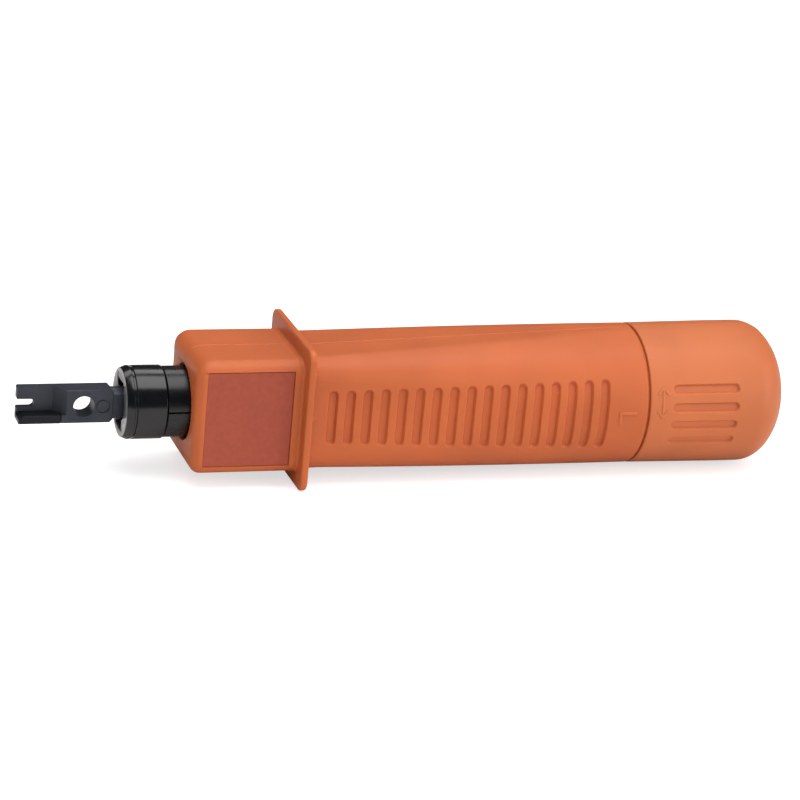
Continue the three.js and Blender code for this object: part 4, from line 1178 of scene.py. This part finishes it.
screw_black = metal("blacked_screw_steel", (0.05, 0.05, 0.055), 0.34, 0.8,
                    (0.2, 0.2, 0.2), lathe=0.1)
for number, (x, z) in enumerate(screw_places(), 1):
    head = turned("head", [(8.1, 1.6, 0), (8.3, 1.8, 0), (9.0, 1.8, 0.12), (9.5, 1.25, 0.3)], 64)
    for a, b in (CROSS_RECESS, CROSS_RECESS[::-1]):
        cut(head, block(8.9, 10, -a, a, -b, b))
    join(head, thread_surface("shank", *SCREW_SHANK, *SCREW_THREAD))
    head.name = head.data.name = f"pan_head_screw_{number}"
    dress(stand(head, x, 0, z, "Y"), screw_black, "housing", "black_screw",
          f"shell_screw_{number}")

# ---- Front bushing and cap hub --------------------------------------------------------
# White acetal, turned to size: the front bushing guides the chuck's sleeve, and the flanged
# hub carries the end cap on the grip's rear bore. Both have fine lathe marks.
def acetal(name):
    material, nodes, links, shader = new_material(name)
    clouds = mottle(nodes, links, 60, detail=3)
    body = ramp(nodes, links, clouds, [(0.3, (0.72, 0.71, 0.67)), (0.7, (0.8, 0.79, 0.75))])
    links.new(body, shader.inputs["Base Color"])
    handled = mottle(nodes, links, 300, detail=4)
    links.new(remap(nodes, links, handled, To_Min=0.38, To_Max=0.52), shader.inputs["Roughness"])
    bumped(nodes, links, shader, [(ring_lines(nodes, links, 4200), 0.2, 0.015),
                                  (mottle(nodes, links, 1800), 0.1, 0.01)])
    set_inputs(shader, Subsurface_Weight=0.2, Subsurface_Radius=(1, 0.9, 0.8),
               Subsurface_Scale=0.8 * MM)
    return material


white_acetal = acetal("turned_white_acetal")
bush_start, bush_end = x_span("front_bushing")
guide_radius = sleeve_radius + FIT
relief = guide_radius + 0.3
bushing = turned("flanged_bushing", [
    (bush_start, relief, 0), (bush_start, bushing_radius, 0.3),
    (bush_end, bushing_radius, 0.3), (bush_end, relief, 0),
    (bush_end - 0.4, guide_radius, 0.1), (bush_start + 6.2, guide_radius, 0.05),
    (bush_start + 6.0, relief, 0.1), (bush_start + 4.2, relief, 0.1),
    (bush_start + 4.0, guide_radius, 0.05), (bush_start + 0.4, guide_radius, 0.1)],
    96, ring=True)
dress(bushing, white_acetal, "housing", "white_acetal", "front_bushing")

hub_x = x_span("cap_hub")
hub_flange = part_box("cap_hub")[1].z / MM
hub_inner = tube_radius + 0.3
ring_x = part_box("retaining_ring")[0].x / MM - 0.2
hub = turned("flanged_hub", [
    (hub_x[0], hub_inner, 0.2), (hub_x[0], hub_radius, 0.25), (ring_x, hub_radius, 0.05),
    (ring_x, hub_radius - 1, 0.05), (ring_x + 1.1, hub_radius - 1, 0.05),
    (ring_x + 1.1, hub_radius, 0.05), (hub_x[1] - 3, hub_radius, 0.3),
    (hub_x[1] - 3, hub_flange, 0.3), (hub_x[1], hub_flange, 0.3), (hub_x[1], hub_inner, 0.2)],
    112, ring=True)
dress(hub, white_acetal, "cap", "white_acetal", "cap_hub")

# ---- Guide tube, cam, washer and ring -------------------------------------------------
# Bright steel parts fixed in the grip: the drawn tube that guides the hammer, the wedge
# that releases the latch, the return spring's washer, and the hub's split retaining ring.
TUBE_WALL = 1.0
WINDOW_HALF = 2.1
TUBE_SLOT_HALF = 1.7

bright_steel = metal("bright_turned_steel", (0.5, 0.5, 0.51), 0.24, 1.0,
                     (0.7, 0.7, 0.7), lathe=0.3)
tube_x = x_span("guide_tube")
cam_low, cam_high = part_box("release_cam")
tube_bore = tube_radius - TUBE_WALL
tube_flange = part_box("guide_tube")[1].z / MM
nut_x = x_span("spring_seat_nut")
guide = turned("hammer_guide_tube", [
    (tube_x[0], tube_bore, 0.2), (tube_x[0], tube_radius, 0.2),
    (tube_x[0] + 1.4, tube_radius, 0.15), (tube_x[0] + 1.4, tube_flange, 0.25),
    (tube_x[0] + 2.9, tube_flange, 0.25), (tube_x[0] + 2.9, tube_radius, 0.15),
    (tube_x[1], tube_radius, 0.2), (tube_x[1], tube_bore, 0.2)], 96, ring=True)
x0, x1 = x_span("release_cam")
cut(guide, block(x0 - 0.2, x1 + 0.2, -WINDOW_HALF, WINDOW_HALF, -30, 0))
cut(guide, block(nut_x[0] - 4.5, tube_x[1] + 1, -30, 30, -TUBE_SLOT_HALF, TUBE_SLOT_HALF))
dress(guide, bright_steel, "housing", "bright_steel", "guide_tube")

cam_front, cam_rear = tube_bore - 0.3, -cam_high.z / MM
cam = plate("release_wedge", [
    (x0, cam_low.z / MM), (x1 - 0.4, cam_low.z / MM), (x1, cam_low.z / MM + 0.4),
    (x1, -cam_rear - 0.4), (x1 - 0.4, -cam_rear - 0.02), (x0, -cam_front)],
    cam_low.y / MM, cam_high.y / MM, 0.15)
dress(cam, bright_steel, "housing", "bright_steel", "release_cam")

rod_radius = 3.5
washer_x = x_span("spring_washer")
washer = turned("spring_seat_washer", [
    (washer_x[0], rod_radius + 0.3, 0.12), (washer_x[0], tube_radius, 0.25),
    (washer_x[1], tube_radius, 0.12), (washer_x[1], rod_radius + 0.3, 0.25)], 96, ring=True)
dress(washer, bright_steel, "housing", "bright_steel", "spring_washer")

spring_steel = metal("oil_tempered_spring_steel", (0.2, 0.2, 0.21), 0.3, 1.0, (0.4, 0.4, 0.4))
ring_low, ring_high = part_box("retaining_ring")
clip_radius = -ring_low.z / MM
clip_inner = hub_radius - 0.8
clip = turned("retaining_clip", [
    (ring_x + 0.2, clip_inner, 0.08), (ring_x + 0.2, clip_radius, 0.1),
    (ring_high.x / MM, clip_radius, 0.1), (ring_high.x / MM, clip_inner, 0.08)], 112, ring=True)
cut(clip, block(ring_x - 1, ring_x + 2, -2.2, 2.2, 0, 30))
for side in (-1, 1):
    cut(clip, stand(rod(-2, 2, 0.45, 24), ring_x, side * 3.3, 11.1, "X"))
dress(clip, spring_steel, "cap", "spring_steel", "retaining_ring")

# ---- Springs --------------------------------------------------------------------------
# Coiled spring wire with closed ends: the return spring on the rod, the main spring behind
# the hammer, the light latch spring and the small spring behind the catch ball.
def coil(name, x0, x1, mean_radius, wire, turns, closed_turns):
    """A helical wire along X whose end turns lie close together."""
    steps = int((turns + 2 * closed_turns) * 40)
    share = np.linspace(0, 1, steps + 1)
    angle = share * (turns + 2 * closed_turns) * 2 * math.pi
    ends = closed_turns / (turns + 2 * closed_turns)
    rise = np.clip((share - ends) / (1 - 2 * ends), 0, 1)
    rise = 0.06 * share + 0.94 * (rise + ease(0, 1, rise)) / 2
    x = x0 + wire / 2 + (x1 - x0 - wire) * rise
    centre = np.stack([x, mean_radius * np.cos(angle), mean_radius * np.sin(angle)], axis=-1)
    ahead = np.gradient(centre, axis=0)
    ahead /= np.linalg.norm(ahead, axis=1, keepdims=True)
    outward = np.stack([0 * angle, np.cos(angle), np.sin(angle)], axis=-1)
    across = np.cross(ahead, outward)
    across /= np.linalg.norm(across, axis=1, keepdims=True)
    sides = 14
    spin = np.linspace(0, 2 * math.pi, sides, endpoint=False)
    points = (centre[:, None] + wire / 2 * (
        outward[:, None] * np.cos(spin)[None, :, None]
        + across[:, None] * np.sin(spin)[None, :, None])).reshape(-1, 3)
    faces = grid_faces(steps + 1, sides, close_columns=True)
    faces += [list(range(sides)), list(range(steps * sides, (steps + 1) * sides))]
    return add_piece(name, points, faces, 60)


for node, name, body, mean_radius, wire, turns in (
        ("return_spring", "return_coil", "housing", 6.6, 0.8, 5),
        ("main_spring", "main_coil", "housing", 5.95, 1.5, 8),
        ("catch_spring", "catch_coil", "plunger", 1.5, 0.5, 3)):
    closed = 0.5 if turns > 3 else 0.1
    piece = coil(name, *x_span(node), mean_radius, wire, turns - 2 * closed, closed)
    dress(piece, spring_steel, body, "spring_steel", node)

low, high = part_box("latch_spring")
piece = coil("latch_coil", low.z / MM, high.z / MM, 0.85, 0.3, 3, 0.1)
latch_low, latch_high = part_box("latch_plate")
middle_x = (latch_low.x + latch_high.x) / 2 / MM
dress(stand(piece, middle_x, 0, 0, "Z"), spring_steel, "hammer", "spring_steel", "latch_spring")

# ---- Plunger rod, cross pin and catch ball --------------------------------------------
# The hard, ground rod that carries the blow to the chuck, the dowel that pins it there, and
# the bearing ball that its light spring presses into the blade's tail.
SPIGOT_RADIUS = 4.5
ROD_TAIL_RADIUS = 1.9
PIN_RADIUS = 1.25

ground_steel = metal("ground_bright_steel", (0.56, 0.56, 0.57), 0.16, 1.0, (0.7, 0.7, 0.7))
rod_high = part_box("plunger_rod")[1]
flange_radius = rod_high.z / MM
spigot_x = face_x + ROD_SEAT
flange_x = bush_end + 0.3
shoulder_x = rod_high.x / MM - 7.7
plunger = turned("plunger_push_rod", [
    (spigot_x, SPIGOT_RADIUS, 0.4), (flange_x, SPIGOT_RADIUS, 0.1),
    (flange_x, flange_radius, 0.3), (flange_x + 2, flange_radius, 0.3),
    (flange_x + 2, rod_radius, 0.2), (shoulder_x, rod_radius, 0.4),
    (shoulder_x, ROD_TAIL_RADIUS, 0.15), (rod_high.x / MM, ROD_TAIL_RADIUS, 0.3)], 80)
drill_for_pin(plunger)
dress(plunger, ground_steel, "plunger", "bright_steel", "plunger_rod")

pin_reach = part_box("cross_pin")[1].z / MM
pin = turned("cross_dowel", [(-pin_reach, PIN_RADIUS, 0.3), (pin_reach, PIN_RADIUS, 0.3)], 40)
dress(stand(pin, pin_x, 0, 0, "Z"), ground_steel, "plunger", "bright_steel", "cross_pin")

ball_low, ball_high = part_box("catch_ball")
ball_middle = (ball_low.x + ball_high.x) / 2 / MM
ball_radius = ball_high.z / MM
meridian = [(ball_middle - ball_radius * math.cos(t), ball_radius * math.sin(t), 0)
            for t in np.linspace(0, math.pi, 33)]
meridian[0] = (ball_middle - ball_radius, 0, 0)
meridian[-1] = (ball_middle + ball_radius, 0, 0)
dress(turned("bearing_ball", meridian, 64), ground_steel, "plunger", "bright_steel",
      "catch_ball")

# ---- Hammer and latch plate -----------------------------------------------------------
# The hammer is a hardened slug that slides in the guide tube. The latch plate crosses it in
# a slot, with a hole off the axis, and its foot rides on the release wedge.
LATCH_THICKNESS = 2.4
LATCH_SHIFT = 1.5
TAIL_HOLE = 2.3

hammer_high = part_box("hammer")[1]
hammer_radius = hammer_high.z / MM
hammer_end = hammer_high.x / MM - 3
x0, x1 = x_span("hammer")
slug = turned("hammer_slug", [
    (x0, hammer_radius - 0.5, 0.1), (x0 + 0.5, hammer_radius, 0.1),
    (x0 + 12, hammer_radius, 0.05), (x0 + 12.2, hammer_radius - 0.25, 0.05),
    (x0 + 13.2, hammer_radius - 0.25, 0.05), (x0 + 13.4, hammer_radius, 0.05),
    (hammer_end, hammer_radius, 0.3), (hammer_end, 4.1, 0.2), (x1, 3.7, 0.4)], 80)
cut(slug, rod(x0 - 1, x0 + 18, TAIL_HOLE))
latch_x = latch_low.x / MM
latch_top = latch_high.z / MM
cut(slug, block(latch_x - 0.2, latch_x + LATCH_THICKNESS + 0.2, -3.5, 3.5, -20,
                latch_top + LATCH_SHIFT + 1.4))
cut(slug, block(x0 - 1, x1 + 1, -2.2, 2.2, -20, -cam_rear + 0.4))
dress(slug, bright_steel, "hammer", "bright_steel", "hammer")


def latch_outline():
    """The latch's face from the front, as (y, z): a broad plate and a narrow foot."""
    half, foot, bottom = latch_high.y / MM, 1.8, latch_low.z / MM + 0.2
    return [(half, -4 + 0.4), (half, latch_top - 0.5), (half - 0.5, latch_top),
            (0.5 - half, latch_top), (-half, latch_top - 0.5), (-half, -4 + 0.4),
            (0.4 - half, -4), (-foot, -4), (-foot, bottom), (foot, bottom), (foot, -4),
            (half - 0.4, -4)]


latch = plate("latch_keeper", latch_outline(), -LATCH_THICKNESS / 2, LATCH_THICKNESS / 2, 0.15)
latch.data.transform(Matrix.Rotation(math.pi / 2, 4, "Z"))
latch.data.transform(Matrix.Translation(Vector((latch_x + LATCH_THICKNESS / 2, 0, 0)) * MM))
cut(latch, stand(rod(-4, 4, TAIL_HOLE), latch_x, 0, -LATCH_SHIFT, "X"))
dress(latch, bright_steel, "latch", "bright_steel", "latch_plate")

# ---- Adjuster screw and spring seat nut -----------------------------------------------
# The screw is keyed in the end cap by its hexagon head, and its thread drives the nut that
# seats the main spring. Two lugs keep the nut from turning in the guide tube's slots.
SCREW_HEAD = 3.7
SCREW_RADIUS = 2.9
head_end = screw_seat_x - 0.1
head_x = head_end - SCREW_HEAD
hexagon = turned("hexagon_head", [(head_x, 4.6, 0), (head_end, 4.6, 0)], 6)
hexagon.data.transform(Matrix.Rotation(math.pi / 2, 4, "X"))
rounded = turned("cutter", [(head_x, 4.1, 0), (head_x + 0.45, 4.7, 0), (head_end - 0.2, 4.7, 0),
                            (head_end, 4.4, 0)], 64)
boolean(hexagon, rounded, "INTERSECT")
join(hexagon, thread_surface("shank", *x_span("adjuster_screw"), SCREW_RADIUS, 1.0, 0.3, 56))
hexagon.name = hexagon.data.name = "adjuster_hex_screw"
dress(hexagon, bright_steel, "cap", "bright_steel", "adjuster_screw")

nut_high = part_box("spring_seat_nut")[1]
nut_radius, nut_reach = nut_high.z / MM, nut_high.y / MM
nut = turned("nut_body", [(nut_x[0], nut_radius, 0.35), (nut_x[1], nut_radius, 0.35)], 80)
join(nut, block(nut_x[0] + 0.05, nut_x[1] - 0.05, -nut_reach, nut_reach, -1.5, 1.5))
cut(nut, rod(nut_x[0] - 1, nut_x[1] + 1, SCREW_RADIUS + FIT))
nut.name = nut.data.name = "spring_seat_slide_nut"
dress(nut, bright_steel, "spring_seat", "bright_steel", "spring_seat_nut")

low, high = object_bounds()
